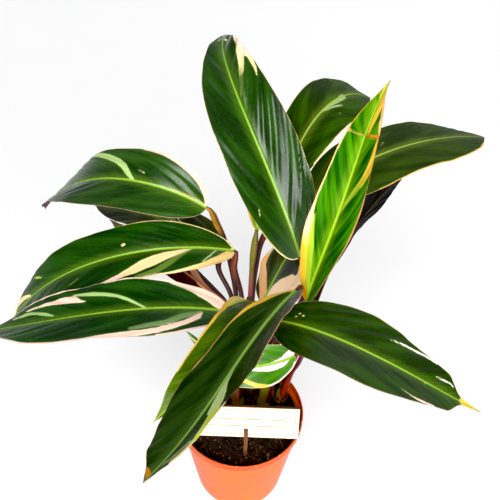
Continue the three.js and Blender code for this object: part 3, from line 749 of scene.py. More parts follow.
def blade_rim(rows, columns):
    """Quads between the margins of the top and of the underside.

    Known fault: they are wound the wrong way round, so they face inwards.
    """
    size = rows * columns
    last = columns - 1
    end = (rows - 1) * columns
    faces = []
    for a in range(0, end, columns):
        b = a + last
        faces.append((a + columns + size, a + columns, a, a + size))
        faces.append((b + columns, b + columns + size, b + size, b))
    for a in range(last):
        b = end + a
        faces.append((a + 1 + size, a + size, a, a + 1))
        faces.append((b + size, b + 1 + size, b + 1, b))
    return faces


def stroke_places(leaf, places):
    """The places of a stroke in millimetres, with steps between them that follow the margin."""
    places = np.array(places, float)
    last = len(places) - 1
    steps = np.linspace(0, last, last * STROKE_STEPS + 1)
    share, column, width = [np.interp(steps, range(last + 1), row) for row in places.T]
    reach = half_width(leaf, share) * (1 + np.sign(column) * leaf["skew"])
    return np.stack([share * leaf["length"], column * reach, width], -1)


def stroke_depth(knots, grid):
    """How far inside one stroke each point lies, in millimetres. Points outside are below 0."""
    depth = np.full(grid.along.shape, FAR_OUTSIDE)
    for (s0, x0, w0), (s1, x1, w1) in zip(knots, knots[1:]):
        run = (s1 - s0) ** 2 + (x1 - x0) ** 2 + ALMOST_NOTHING
        part = np.clip(((grid.along - s0) * (s1 - s0) + (grid.across - x0) * (x1 - x0)) / run, 0, 1)
        away = np.hypot(grid.along - s0 - part * (s1 - s0), grid.across - x0 - part * (x1 - x0))
        depth = np.maximum(depth, w0 + part * (w1 - w0) - away)
    return depth


def marking_field(leaf, strokes, grid):
    """How far inside the nearest marking each point lies, in millimetres, and its colour.

    Where strokes of different colours lie over each other, the deeper one shows most.
    """
    shape = grid.along.shape
    field = np.full(shape, FAR_OUTSIDE)
    colour = np.zeros(shape + (3,))
    total = np.full(shape, LEAST_WEIGHT)
    for tone, places in strokes:
        depth = stroke_depth(stroke_places(leaf, places), grid)
        weight = np.exp(depth.clip(*STROKE_DEPTHS) / STROKE_BLEND)
        colour += weight[..., None] * tone
        total += weight
        field = np.maximum(field, depth)
    return field, colour / total[..., None]


def mark_blade(blade, name, leaf, grid):
    """What the leaf materials read at each point, the same on the top and the underside."""
    field, colour = marking_field(leaf, MARKINGS.get(name, []), grid)
    rib_width = look_of(name)["rib_width"] * (1 - RIB_NARROWING * grid.share)
    from_rib = np.abs(grid.across)
    values = {
        "vein": np.stack([grid.vein, grid.across, grid.along], -1),
        "marking": field,
        "marking_colour": colour,
        "rib": from_rib - rib_width,
        "edge": grid.spread - from_rib,
    }
    for key, value in values.items():
        top = value.reshape(-1, *value.shape[2:])
        add_attribute(blade, key, np.concatenate([top, top]))


def build_blade(name, leaf, index):
    grid = BladeGrid(leaf)
    top, bottom = blade_skins(leaf, grid, index)
    rows, columns = grid.column.shape
    upper = grid_faces(rows, columns)
    lower = grid_faces(rows, columns, start=rows * columns, flip=True) + blade_rim(rows, columns)
    materials = [leaf_top_material(name), leaf_under_material(name)]
    face_materials = [0] * len(upper) + [1] * len(lower)
    points = both_skins(top, bottom)
    blade = make_piece(
        name + "_blade", points, upper + lower, materials, face_materials, BLADE_CREASE)
    mark_blade(blade, name, leaf, grid)
    settle(blade, name)


# ---------------------------------------------------------------- material graphs
class Graph:
    """Short calls that build one material's node tree. Values may be numbers or sockets."""

    def __init__(self, owner, shader="Principled BSDF"):
        owner.use_nodes = True
        self.owner = owner
        self.tree = owner.node_tree
        self.shader = self.tree.nodes[shader]

    def put(self, socket, value):
        if isinstance(value, bpy.types.NodeSocket):
            self.tree.links.new(value, socket)
        elif isinstance(value, tuple) and socket.type == "RGBA":
            socket.default_value = (*value, 1)
        else:
            socket.default_value = value

    def node(self, kind, inputs=(), **settings):
        node = self.tree.nodes.new("ShaderNode" + kind)
        for key, value in settings.items():
            setattr(node, key, value)
        for key, value in dict(inputs).items():
            self.put(node.inputs[key], value)
        return node

    def surface(self, **inputs):
        for key, value in inputs.items():
            self.put(self.shader.inputs[key.replace("_", " ")], value)
        return self.owner

    def attribute(self, name, output):
        return self.node("Attribute", attribute_name=name).outputs[output]

    def number(self, name):
        return self.attribute(name, "Fac")

    def vector(self, name):
        return self.attribute(name, "Vector")

    def colour(self, name):
        return self.attribute(name, "Color")

    def place(self):
        return self.node("TexCoord").outputs["Object"]

    def math(self, operation, first, second):
        return self.node("Math", {0: first, 1: second}, operation=operation).outputs[0]

    def add(self, first, second):
        return self.math("ADD", first, second)

    def times(self, first, second):
        return self.math("MULTIPLY", first, second)

    def parts(self, vector):
        return self.node("SeparateXYZ", {0: vector}).outputs

    def noise(self, vector, scale, detail=2.0, roughness=0.5):
        """Scale is one number, or one for each direction."""
        scale = scale if isinstance(scale, tuple) else (scale, scale, scale)
        vector = self.node("VectorMath", {0: vector, 1: scale}, operation="MULTIPLY").outputs[0]
        inputs = {"Vector": vector, "Scale": 1.0, "Detail": detail, "Roughness": roughness}
        return self.node("TexNoise", inputs).outputs["Fac"]

    def between(self, value, low, high, start=0.0, end=1.0):
        """Smoothly from start at low to end at high."""
        inputs = {"Value": value, "From Min": low, "From Max": high, "To Min": start, "To Max": end}
        return self.node("MapRange", inputs, interpolation_type="SMOOTHSTEP").outputs["Result"]

    def mix(self, factor, first, second):
        return self.node("Mix", {0: factor, 6: first, 7: second}, data_type="RGBA").outputs[2]

    def tint(self, ground, colour, value, low, high, most=1.0):
        """Lays a colour over the ground as value goes from low to high."""
        return self.mix(self.between(value, low, high, 0.0, most), ground, colour)

    def bump(self, height, depth, strength, normal=None):
        """Relief whose depth is given in millimetres, on top of another relief if there is one."""
        inputs = {"Height": height, "Distance": depth * MM, "Strength": strength}
        if normal is not None:
            inputs["Normal"] = normal
        return self.node("Bump", inputs).outputs["Normal"]


def material_graph(name):
    return Graph(bpy.data.materials.new(name))


# ---------------------------------------------------------------- leaf materials
# Noise on a blade is stretched along its side veins. The scales are per millimetre: between
# veins, across the blade and along it.
STREAK_ACROSS = 0.04
HAIR_SCALE = (1.7, 0.06, 0.0)
PATCH_SCALE = (0.03, 0.05, 0.02)
GLOSS_SCALE = 0.3
UNDER_STREAK_SCALE = (0.5, 0.04, 0.0)
HALO_WIDTH = 7.0
FRINGE_WIDTH = 1.2
FRINGE_STRENGTH = 0.4
EDGE_STRENGTH = 0.85
UNDER_GLOSS = 0.52
UNDER_MARKING = srgb(150, 60, 72)


def look_of(name):
    return {**USUAL_LOOK, **LOOKS.get(name, {})}


def leaf_ground(g, look, streak, patch):
    """The two greens, mixed by streaks along the veins and by broad patches."""
    striped = g.times(streak, look["stripes"])
    patched = g.times(patch, 1 - look["stripes"])
    return g.tint(look["dark"], look["light"], g.add(striped, patched), 0.38, 0.62)


def with_markings(g, look, ground, streak, hair):
    """The ground with its splashes, whose ends the streaks tear into fingers."""
    ragged = g.times(g.math("SUBTRACT", streak, 0.5), look["ragged"])
    depth = g.add(g.number("marking"), ragged)
    halfway = g.mix(0.5, look["light"], PALE)
    ground = g.tint(ground, halfway, depth, -FRINGE_WIDTH, 0.0, FRINGE_STRENGTH)
    splash = g.tint(g.colour("marking_colour"), look["light"], hair, 0.5, 0.75, 0.3)
    return g.tint(ground, splash, depth, -0.2, 0.2)


def with_rib_and_edge(g, look, skin, rib, hair):
    line = g.tint(look["rib"], look["light"], hair, 0.3, 0.7)
    line = g.mix(0.3, look["rib"], line)
    skin = g.tint(skin, line, rib, 0.2, -0.25)
    width = look["edge_width"]
    margin = g.between(g.number("edge"), width, width * 0.5)
    return g.mix(g.times(margin, EDGE_STRENGTH), skin, look["edge"])


def leaf_top_material(name):
    look = look_of(name)
    g = material_graph(name + "_top")
    vein = g.vector("vein")
    rib = g.number("rib")
    streak = g.noise(vein, (look["vein_scale"], STREAK_ACROSS, 0.0), detail=3.0, roughness=0.6)
    hair = g.noise(vein, HAIR_SCALE)
    patch = g.noise(vein, PATCH_SCALE)
    skin = leaf_ground(g, look, streak, patch)
    halo = g.between(rib, 0.0, HALO_WIDTH, look["glow"], 0.0)
    skin = g.mix(g.times(halo, streak), skin, look["rib"])
    skin = with_markings(g, look, skin, streak, hair)
    skin = with_rib_and_edge(g, look, skin, rib, hair)
    dull = g.noise(vein, GLOSS_SCALE, detail=3.0)
    gloss = g.between(dull, 0.3, 0.7, look["gloss"] - 0.05, look["gloss"] + 0.1)
    relief = g.bump(hair, 0.08, 0.5)
    return g.surface(Base_Color=skin, Roughness=gloss, Normal=relief, Specular_IOR_Level=look["shine"])


def leaf_under_material(name):
    look = look_of(name)
    dark, light, rib = look["under"]
    g = material_graph(name + "_under")
    vein = g.vector("vein")
    streak = g.noise(vein, UNDER_STREAK_SCALE, detail=3.0)
    hair = g.noise(vein, HAIR_SCALE)
    skin = g.tint(dark, light, streak, 0.3, 0.75)
    pale = g.mix(look["through"], UNDER_MARKING, g.colour("marking_colour"))
    skin = g.tint(skin, pale, g.number("marking"), -0.2, 0.3)
    skin = g.tint(skin, rib, g.number("rib"), 0.6, -0.2)
    relief = g.bump(hair, 0.3, 0.6)
    return g.surface(
        Base_Color=skin, Roughness=UNDER_GLOSS, Normal=relief,
        Specular_IOR_Level=look["under_shine"])


# ---------------------------------------------------------------- stalks
PETIOLE_STEPS = 72
PETIOLE_SIDES = 20
CURVE_SAMPLES = 240
CURVE_SUBSTEPS = 60
SHEATH_FADING = 0.12
SHEATH_OVERRUN = 0.05
SHEATH_GROOVE = 0.3
GROOVE_WIDTH = 0.35
LIP_HEIGHT = 0.12
LIP_PLACE = 0.8
LIP_WIDTH = 0.3
END_ROUNDING = 0.5
END_SHARE = 0.94
FAR_FROM_SEAM = 3
PETIOLE_GRAIN_RADIUS = 2.5

CROWN_STEPS = 24
CROWN_SIDES = 48
CROWN_SHEATHS = 3
CROWN_SHEATH_RISE = 0.02
CROWN_OVERLAP = 0.1
CROWN_LEAST = 0.92
CROWN_BROWN = srgb(92, 58, 34)
CROWN_BROWN_HEIGHTS = (2, 14)

SCRAPS = 4
SCRAP_ROWS = 12
SCRAP_COLUMNS = 16
SCRAP_THICKNESS = 0.35
SCRAP_RAGGEDNESS = 0.35
SCRAP_POINTEDNESS = 0.5
SCRAP_CURLS = 9
SCRAP_CURL_DEPTH = 0.3
SCRAP_SPANS = (0.9, 1.8)
SCRAP_HEIGHTS = (9, 20)
SCRAP_LEANS = (0.5, 5)
SCRAP_RADII = (0.98, 1.08)
SCRAP_FOOT = SOIL_TOP - 2
SCRAP_TAN = srgb(138, 92, 58)

WINE = srgb(96, 28, 40)
RUSSET = srgb(120, 52, 30)
OCHRE = srgb(176, 126, 30)
OLIVE = srgb(122, 118, 34)
BRICK = srgb(150, 48, 30)
DARK_STALK = srgb(62, 30, 22)
# Painted shade for the right side of the stalks.
SHADED_STALK = srgb(70, 22, 18)
STALK_STREAK = srgb(24, 10, 10)
STALK_FLECK = srgb(190, 130, 90)
ROSE = srgb(196, 68, 98)

# Share of the length where the sheath's colour gives way to the stalk's.
USUAL_SHEATH_END = 0.55
SHEATH_ENDS = {"leaf_15": 0.88}

# Colours of each stalk: at the sheath, along the stalk and on the swelling under the blade.
STALK_COLOURS = {
    "leaf_01": (OLIVE, WINE, RUSSET),
    "leaf_02": (RUSSET, DARK_STALK, RUSSET),
    "leaf_03": (WINE, RUSSET, OCHRE),
    "leaf_05": (WINE, WINE, WINE),
    "leaf_09": (OLIVE, WINE, DARK_STALK),
    "leaf_10": (RUSSET, DARK_STALK, RUSSET),
    "leaf_11": (DARK_STALK, DARK_STALK, OCHRE),
    "leaf_13": (ROSE, ROSE, ROSE),
    "leaf_14": (BRICK, WINE, RUSSET),
    "leaf_15": (ROSE, OLIVE, OLIVE),
    "leaf_spear": (OLIVE, OLIVE, LIME),
}
USUAL_STALK = (OLIVE, DARK_STALK, RUSSET)


def smooth_curve(points):
    """A centripetal Catmull-Rom curve through the points, sampled evenly by its length."""
    points = [np.asarray(point, float) for point in points]
    before = 2 * points[0] - points[1]
    after = 2 * points[-1] - points[-2]
    padded = [before, *points, after]
    dense = []
    for a, b, c, d in zip(padded, padded[1:], padded[2:], padded[3:]):
        gaps = [np.linalg.norm(q - p) ** 0.5 for p, q in ((a, b), (b, c), (c, d))]
        k0, k1, k2, k3 = np.cumsum([0, *gaps])
        for t in np.linspace(k1, k2, CURVE_SUBSTEPS, endpoint=False):
            ab = a + (b - a) * (t - k0) / (k1 - k0)
            bc = b + (c - b) * (t - k1) / (k2 - k1)
            cd = c + (d - c) * (t - k2) / (k3 - k2)
            abc = ab + (bc - ab) * (t - k0) / (k2 - k0)
            bcd = bc + (cd - bc) * (t - k1) / (k3 - k1)
            dense.append(abc + (bcd - abc) * (t - k1) / (k2 - k1))
    dense = np.array([*dense, points[-1]])
    lengths = np.append(0, np.cumsum(np.linalg.norm(np.diff(dense, axis=0), axis=1)))
    even = np.linspace(0, lengths[-1], CURVE_SAMPLES)
    return np.stack([np.interp(even, lengths, dense[:, axis]) for axis in range(3)], -1), lengths[-1]


def sweep_frames(path):
    """Two steady cross directions along a path."""
    tangents = np.gradient(path, axis=0)
    tangents /= np.linalg.norm(tangents, axis=1)[:, None]
    side = np.cross(tangents[0], (0, 1, 0))
    side /= np.linalg.norm(side)
    sides = []
    for tangent in tangents:
        side = side - tangent * side.dot(tangent)
        side /= np.linalg.norm(side)
        sides.append(side)
    sides = np.array(sides)
    return sides, np.cross(tangents, sides)


class Soup:
    """Points, faces and point attributes gathered from several closed bodies."""

    def __init__(self):
        self.points = []
        self.faces = []
        self.values = {}
        self.count = 0

    def add(self, points, faces, **values):
        points = np.asarray(points, float).reshape(-1, 3)
        self.faces += [tuple(corner + self.count for corner in face) for face in faces]
        self.points.append(points)
        for key, value in values.items():
            value = np.asarray(value, float)
            if value.ndim == 1 and value.size == 3:
                value = np.tile(value, (len(points), 1))
            self.values.setdefault(key, []).append(value)
        self.count += len(points)

    def piece(self, name, material, crease=USUAL_CREASE):
        piece = make_piece(name, np.concatenate(self.points), self.faces, [material], crease=crease)
        for key, values in self.values.items():
            add_attribute(piece, key, np.concatenate(values))
        return piece


def petiole_radius(u):
    stalk = SHEATH_RADIUS + (PETIOLE_RADIUS - SHEATH_RADIUS) * smoothstep(u, 0, SHEATH_SHARE)
    swelling = smoothstep(u, 1 - 2 * PULVINUS_SHARE, 1 - PULVINUS_SHARE)
    return stalk + (PULVINUS_RADIUS - PETIOLE_RADIUS) * swelling


def petiole_path(leaf):
    x, y = SHOOTS[leaf["shoot"]]["at"]
    along = direction(leaf, np.array([0.0]))[0]
    end = np.array(leaf["base"], float) + along * SEAT_GAP
    bend = end - along * leaf["turn"]
    foot = (x, y, SOIL_TOP - PETIOLE_FOOT_DEPTH)
    return smooth_curve([foot, *leaf["bow"], bend, end])


def petiole_girth(u, from_seam):
    """Radius at each point: where the sheath's edges meet there is a groove between two lips."""
    sheath = 1 - smoothstep(u, SHEATH_SHARE - SHEATH_FADING, SHEATH_SHARE + SHEATH_OVERRUN)
    groove = SHEATH_GROOVE * bell(from_seam, 0, GROOVE_WIDTH)
    lips = LIP_HEIGHT * bell(from_seam, LIP_PLACE, LIP_WIDTH)
    shape = 1 + sheath[:, None] * (lips - groove)[None]
    rounding = 1 - END_ROUNDING * smoothstep(u, END_SHARE, 1)
    return (petiole_radius(u) * rounding)[:, None] * shape


def petiole_tone(name, u, from_seam, to_right):
    """Colour at each point: sheath, stalk and swelling, painted shade on the right side and a rosy seam.
    """
    foot_tone, stalk_tone, swelling_tone = STALK_COLOURS.get(name, USUAL_STALK)
    sheath_end = SHEATH_ENDS.get(name, USUAL_SHEATH_END)
    tone = blend(foot_tone, stalk_tone, smoothstep(u, sheath_end - 0.3, sheath_end)[:, None])
    swelling = smoothstep(u, 1 - 1.6 * PULVINUS_SHARE, 1 - PULVINUS_SHARE)
    tone = blend(tone, swelling_tone, swelling[:, None])
    # Painted shade: each stalk darker on its right side.
    tone = blend(tone, SHADED_STALK, 0.7 * smoothstep(to_right, 0, 0.8)[:, None])
    rosy = bell(from_seam, 0.55, 0.3) * (1 - smoothstep(u, SHEATH_SHARE - SHEATH_FADING, SHEATH_SHARE))
    return blend(tone, ROSE, 0.7 * rosy[:, None])


def add_petiole(soup, name, leaf):
    path, length = petiole_path(leaf)
    pick = np.linspace(0, len(path) - 1, PETIOLE_STEPS).astype(int)
    path = path[pick]
    u = pick / (CURVE_SAMPLES - 1)
    turn = full_turn(PETIOLE_SIDES)
    seam = math.radians(200 + 40 * (sum(map(ord, name)) % 7))
    from_seam = np.abs((turn - seam + math.pi) % (2 * math.pi) - math.pi)
    ring = ring_round(turn, *sweep_frames(path))
    points = tube_points(path, ring, petiole_girth(u, from_seam))

    at, near_seam = tube_values(u, from_seam, FAR_FROM_SEAM)
    to_right = np.append(ring[..., 0].ravel(), [0, 0])
    tone = petiole_tone(name, at, near_seam, to_right)
    grain = tube_grain(u, turn, length, PETIOLE_GRAIN_RADIUS)
    soup.add(points, tube_faces(PETIOLE_STEPS, PETIOLE_SIDES), tone=tone, grain=grain)


def add_crown(soup, shoot):
    """Old sheaths clasped round the foot of a shoot, as overlapping ridges."""
    heights = np.linspace(CROWN_OUTLINE[0][1], CROWN_OUTLINE[-1][1], CROWN_STEPS)
    shares = np.interp(heights, [h for _, h in CROWN_OUTLINE], [s for s, _ in CROWN_OUTLINE])
    turn = full_turn(CROWN_SIDES)
    winding = CROWN_SHEATHS * turn[None] / (2 * math.pi) + CROWN_SHEATH_RISE * heights[:, None]
    girth = shoot["radius"] * shares[:, None] * (CROWN_LEAST + CROWN_OVERLAP * (winding % 1))
    wall = round_points(shoot["at"], girth, turn, SOIL_TOP + heights[:, None])
    ends = [(*shoot["at"], SOIL_TOP + height) for height in (heights[0], heights[-1])]
    points = np.concatenate([wall, ends])
    low, high = CROWN_BROWN_HEIGHTS
    greening = smoothstep(points[:, 2], SOIL_TOP + low, SOIL_TOP + high)[:, None]
    tone = blend(CROWN_BROWN, OLIVE, greening)
    soup.add(points, tube_faces(CROWN_STEPS, CROWN_SIDES), tone=tone, grain=points)


def add_scrap(soup, shoot, draw):
    """A dried piece of sheath: a thin curled flake with a ragged top.

    Known fault: the quads along its foot and head are wound the wrong way round.
    """
    start = draw.uniform(0, 2 * math.pi)
    span = draw.uniform(*SCRAP_SPANS)
    height = draw.uniform(*SCRAP_HEIGHTS)
    lean = draw.uniform(*SCRAP_LEANS)
    radius = shoot["radius"] * draw.uniform(*SCRAP_RADII)
    rows, columns = SCRAP_ROWS, SCRAP_COLUMNS
    share = np.linspace(0, 1, columns)
    turn = start + span * share
    ragged = 1 - SCRAP_RAGGEDNESS * draw.random(columns) - SCRAP_POINTEDNESS * np.abs(share - 0.5)
    climb = np.linspace(0, 1, rows)[:, None] * ragged[None] * height
    out = radius + lean * (climb / height) ** 2
    out = out + SCRAP_CURL_DEPTH * np.sin(SCRAP_CURLS * turn)[None]
    skins = [
        round_points(shoot["at"], reach, turn, SCRAP_FOOT + climb)
        for reach in (out, out + SCRAP_THICKNESS)]
    points = both_skins(*skins)
    sides, ends = rim_faces(rows, columns)
    faces = grid_faces(rows, columns, flip=True) + grid_faces(rows, columns, start=rows * columns)
    tone = np.array(SCRAP_TAN) * (0.7 + 0.6 * draw.random())
    soup.add(points, faces + turned_over(sides) + ends, tone=tone, grain=points)


def stalk_material(name):
    g = material_graph(name)
    grain = g.vector("grain")
    streak = g.noise(grain, (0.05, 1.3, 1.3), detail=3.0)
    fleck = g.noise(grain, (0.35, 1.6, 1.6), detail=3.0)
    tone = g.colour("tone")
    skin = g.tint(g.mix(0.45, tone, STALK_STREAK), tone, streak, 0.3, 0.75)
    skin = g.tint(skin, STALK_FLECK, fleck, 0.6, 0.8, 0.35)
    relief = g.bump(streak, 0.4, 0.6)
    return g.surface(Base_Color=skin, Roughness=0.42, Normal=relief, Specular_IOR_Level=0.25)


def build_stalks():
    draw = np.random.default_rng(5)
    for name, shoot in SHOOTS.items():
        soup = Soup()
        add_crown(soup, shoot)
        for leaf_name, leaf in [*LEAVES.items(), ("leaf_spear", SPEAR)]:
            if leaf["shoot"] == name:
                add_petiole(soup, leaf_name, leaf)
        for _ in range(SCRAPS):
            add_scrap(soup, shoot, draw)
        stalks = soup.piece("stalks_" + name, stalk_material("stalk_skin_" + name))
        settle(stalks, "stems_" + name)


# ---------------------------------------------------------------- the rolled young leaf
SPEAR_STEPS = 90
SPEAR_SIDES = 40
SPEAR_WINDING = 0.8
SPEAR_STEP_SHARE = 0.14
SPEAR_GRAIN_RADIUS = 3
SPEAR_GREEN = srgb(70, 128, 40)


def build_spear():
    """A leaf still rolled up: a spindle whose free edge winds round it as a low step."""
    u = np.linspace(0, 1, SPEAR_STEPS)
    path = midrib_points(SPEAR, u)
    turn = full_turn(SPEAR_SIDES)
    radius = TIP_HALF_WIDTH + (SPEAR["radius"] - TIP_HALF_WIDTH) * outline_share(USUAL_BLADE, u)
    wound = (turn[None] / (2 * math.pi) + SPEAR_WINDING * u[:, None]) % 1
    girth = radius[:, None] * ((1 - SPEAR_STEP_SHARE) + SPEAR_STEP_SHARE * wound)
    points = tube_points(path, ring_round(turn, *sweep_frames(path)), girth)

    edge = np.append(bell(wound.ravel(), 0.97, 0.06), [0, 0])[:, None]
    tone = blend(SPEAR_GREEN, CREAM, edge)
    grain = tube_grain(u, turn, SPEAR["length"], SPEAR_GRAIN_RADIUS)
    soup = Soup()
    soup.add(points, tube_faces(SPEAR_STEPS, SPEAR_SIDES), tone=tone, grain=grain)
    settle(soup.piece("spear_roll", stalk_material("spear_skin")), "leaf_spear")


# ---------------------------------------------------------------- pot
POT_SEGMENTS = 192
POT_CREASE = 40
WALL_RINGS = 24
FLOOR_RINGS = 12
BAND_RINGS = 6
LIP_RADIUS = 0.65
LIP_ARC_STEPS = 9
FOOT_RING_RAISE = 0.35
FOOT_ARC_RADIUS = 1
BAND_FILLET = 0.9
HOLE_SIDES = 28
HOLE_MARGIN = 2

POT_ORANGE = srgb(204, 80, 6)
POT_LIGHT_ORANGE = srgb(214, 92, 10)
BAND_ORANGE = srgb(176, 62, 2)
SCUFF_BROWN = srgb(150, 66, 34)
# Pale specks near the top of the rim.
RIM_SPECK_PALE = srgb(240, 210, 180)


def wall_radius(height):
    shoulder = POT_RIM_RADIUS - POT_BAND_STEP
    return POT_BASE_RADIUS + (shoulder - POT_BASE_RADIUS) * height / BAND_FOOT


def arc(centre, radius, start, end, steps=5):
    """Points of a round stretch of an outline, from one angle to another in degrees."""
    angles = np.radians(np.linspace(start, end, steps))
    return [(centre[0] + radius * math.cos(a), centre[1] + radius * math.sin(a)) for a in angles]


def pot_profile():
    """From the middle of the underside round the wall and the rim to the middle of the floor."""
    rim, top, lip, fillet = POT_RIM_RADIUS, POT_HEIGHT, LIP_RADIUS, BAND_FILLET
    wall = [(wall_radius(h), h) for h in np.linspace(3, BAND_FOOT - 1.4, WALL_RINGS)]
    inner_heights = np.linspace(BAND_FOOT - 1.5, POT_FLOOR + 1.5, WALL_RINGS)
    inner = [(wall_radius(h) - POT_WALL, h) for h in inner_heights]
    underside = [(r, FOOT_RING_RAISE) for r in np.linspace(0, POT_BASE_RADIUS - 4, FLOOR_RINGS)]
    foot = [(POT_BASE_RADIUS - 3.6, 0), (POT_BASE_RADIUS - 1.2, 0)]
    floor_radii = np.linspace(POT_BASE_RADIUS - POT_WALL - 1.4, 0, FLOOR_RINGS)
    return [
        *underside, *foot,
        *arc((POT_BASE_RADIUS - 0.9, FOOT_ARC_RADIUS), FOOT_ARC_RADIUS, -90, -5),
        *wall,
        *arc((wall_radius(BAND_FOOT) + fillet, BAND_FOOT - fillet), fillet, 180, 90, 4),
        (rim - lip - 0.25, BAND_FOOT),
        *arc((rim - lip, BAND_FOOT + lip), lip, -90, 0),
        *[(rim - 0.12, h) for h in np.linspace(BAND_FOOT + 1.6, top - 1.6, BAND_RINGS)],
        *arc((rim - lip, top - lip), lip, 0, 180, LIP_ARC_STEPS),
        *[(rim - POT_WALL - 0.1, h) for h in np.linspace(top - 1.5, BAND_FOOT + 1, BAND_RINGS)],
        *inner,
        *[(r, POT_FLOOR) for r in floor_radii],
    ]


def cut_round_holes(piece, places, radius, bottom, top):
    """Cuts upright round holes through a piece and leaves no modifier on it."""
    cutters = []
    turn = full_turn(HOLE_SIDES)
    for place in places:
        wall = [round_points(place, radius, turn, height) for height in (bottom, top)]
        points = np.concatenate([*wall, [(*place, bottom), (*place, top)]])
        cutter = make_piece("drain_cutter", points, tube_faces(2, HOLE_SIDES), piece.data.materials)
        modifier = piece.modifiers.new("drain", "BOOLEAN")
        modifier.operation = "DIFFERENCE"
        modifier.solver = "EXACT"
        modifier.object = cutter
        cutters.append(cutter)
    graph = bpy.context.evaluated_depsgraph_get()
    cut = bpy.data.meshes.new_from_object(piece.evaluated_get(graph))
    piece.modifiers.clear()
    piece.data = cut
    cut.set_sharp_from_angle(angle=math.radians(POT_CREASE))
    for cutter in cutters:
        bpy.data.objects.remove(cutter)


def pot_material():
    g = material_graph("pot_plastic")
    place = g.place()
    height = g.parts(place)[2]
    mottle = g.noise(place, 60.0, detail=4.0)
    speckle = g.noise(place, 900.0)
    skin = g.tint(POT_ORANGE, POT_LIGHT_ORANGE, mottle, 0.3, 0.7)
    skin = g.tint(skin, BAND_ORANGE, height, (BAND_FOOT - 0.6) * MM, (BAND_FOOT + 0.4) * MM, 0.85)
    scuff = g.noise(place, (40.0, 40.0, 420.0), detail=3.0, roughness=0.7)
    skin = g.tint(skin, SCUFF_BROWN, scuff, 0.66, 0.74, 0.35)
    # Pale specks near the top of the rim, placed by noise.
    rim_specks = g.noise(place, 350.0, detail=3.0)
    near_rim = g.between(height, (POT_HEIGHT - 6) * MM, (POT_HEIGHT - 0.5) * MM)
    skin = g.mix(g.times(g.between(rim_specks, 0.64, 0.72), near_rim), skin, RIM_SPECK_PALE)
    relief = g.bump(speckle, 0.2, 0.25)
    relief = g.bump(scuff, 0.3, 0.2, relief)
    gloss = g.between(mottle, 0.3, 0.7, 0.36, 0.48)
    return g.surface(
        Base_Color=skin, Roughness=gloss, Normal=relief, Specular_IOR_Level=0.35,
        Subsurface_Weight=0.08, Subsurface_Radius=(0.003, 0.0012, 0.0006))


def build_pot():
    profile = np.array(pot_profile())
    rings = profile[profile[:, 0] > 0]
    wall = round_points((0, 0), rings[:, :1], full_turn(POT_SEGMENTS), rings[:, 1:])
    points = np.concatenate([wall, [(0, 0, profile[0, 1]), (0, 0, profile[-1, 1])]])
    faces = tube_faces(len(rings), POT_SEGMENTS)
    pot = make_piece("pot_shell", points, faces, [pot_material()], crease=POT_CREASE)
    angles = full_turn(DRAIN_HOLES)
    places = [(DRAIN_RING_RADIUS * math.cos(a), DRAIN_RING_RADIUS * math.sin(a)) for a in angles]
    cut_round_holes(pot, places, DRAIN_HOLE_RADIUS, -HOLE_MARGIN, POT_FLOOR + HOLE_MARGIN)
    settle(pot, "pot")


# ---------------------------------------------------------------- soil
SOIL_RINGS = 70
SOIL_SECTORS = 200
SOIL_CROWDING = 0.85
SOIL_REACH = 55
SOIL_CREASE = 75
CALM_FROM = 0.94
EDGE_SAG = 0.8
SOIL_BROWN = srgb(38, 24, 15)
SOIL_SHADOW = srgb(10, 6, 5)
SOIL_SPECK = srgb(96, 66, 42)

# Small clods of the soil: wavelength and height of each size.
CLODS = ((9, 0.5), (5, 0.35), (3, 0.25), (1.9, 0.2))
CLOD_WAVES = 6
CLOD_TYPICAL = 2.4

CRUMBS = 1500
CRUMB_SIZES = (0.35, 1.1)
BIG_CRUMB = 1.9
BIG_CRUMB_SHARE = 0.07
CRUMB_ROUGHNESS = 0.35
CRUMB_STRETCH = (0.6, 1.2)
CRUMB_TONES = [
    srgb(32, 20, 13), srgb(66, 42, 26), srgb(100, 66, 40), srgb(16, 10, 8), srgb(136, 92, 56)]
CRUMB_TONE_SHARES = (0.3, 0.24, 0.18, 0.16, 0.12)
PERLITE = 4
PERLITE_SIZES = (0.5, 0.95)
PERLITE_ROUGHNESS = 0.15
PERLITE_WHITE = srgb(236, 230, 218)

FIBRES = 110
FIBRE_STEPS = 9
FIBRE_SIDES = 4
FIBRE_LENGTHS = (4, 13)
FIBRE_RADII = (0.12, 0.3)
FIBRE_BEND = 1.2
FIBRE_RAISE = 0.45
FIBRE_ARCH = 1.2
FIBRE_TAN = srgb(150, 104, 60)
FIBRE_TONES = (0.3, 1.2)


def lumps(x, y):
    """Uneven height of the soil: broad hollows and small clods."""
    height = 1.1 * np.sin(2 * math.pi * x / 30) * np.sin(2 * math.pi * y / 30)
    height += 0.55 * np.sin(2 * math.pi * (x - y) / 16)
    draw = np.random.default_rng(11)
    for wavelength, size in CLODS:
        for _ in range(CLOD_WAVES):
            angle = draw.uniform(0, 2 * math.pi)
            along = x * math.cos(angle) + y * math.sin(angle)
            phase = draw.uniform(0, 6)
            height += size / CLOD_TYPICAL * np.sin(2 * math.pi * along / wavelength + phase)
    return height


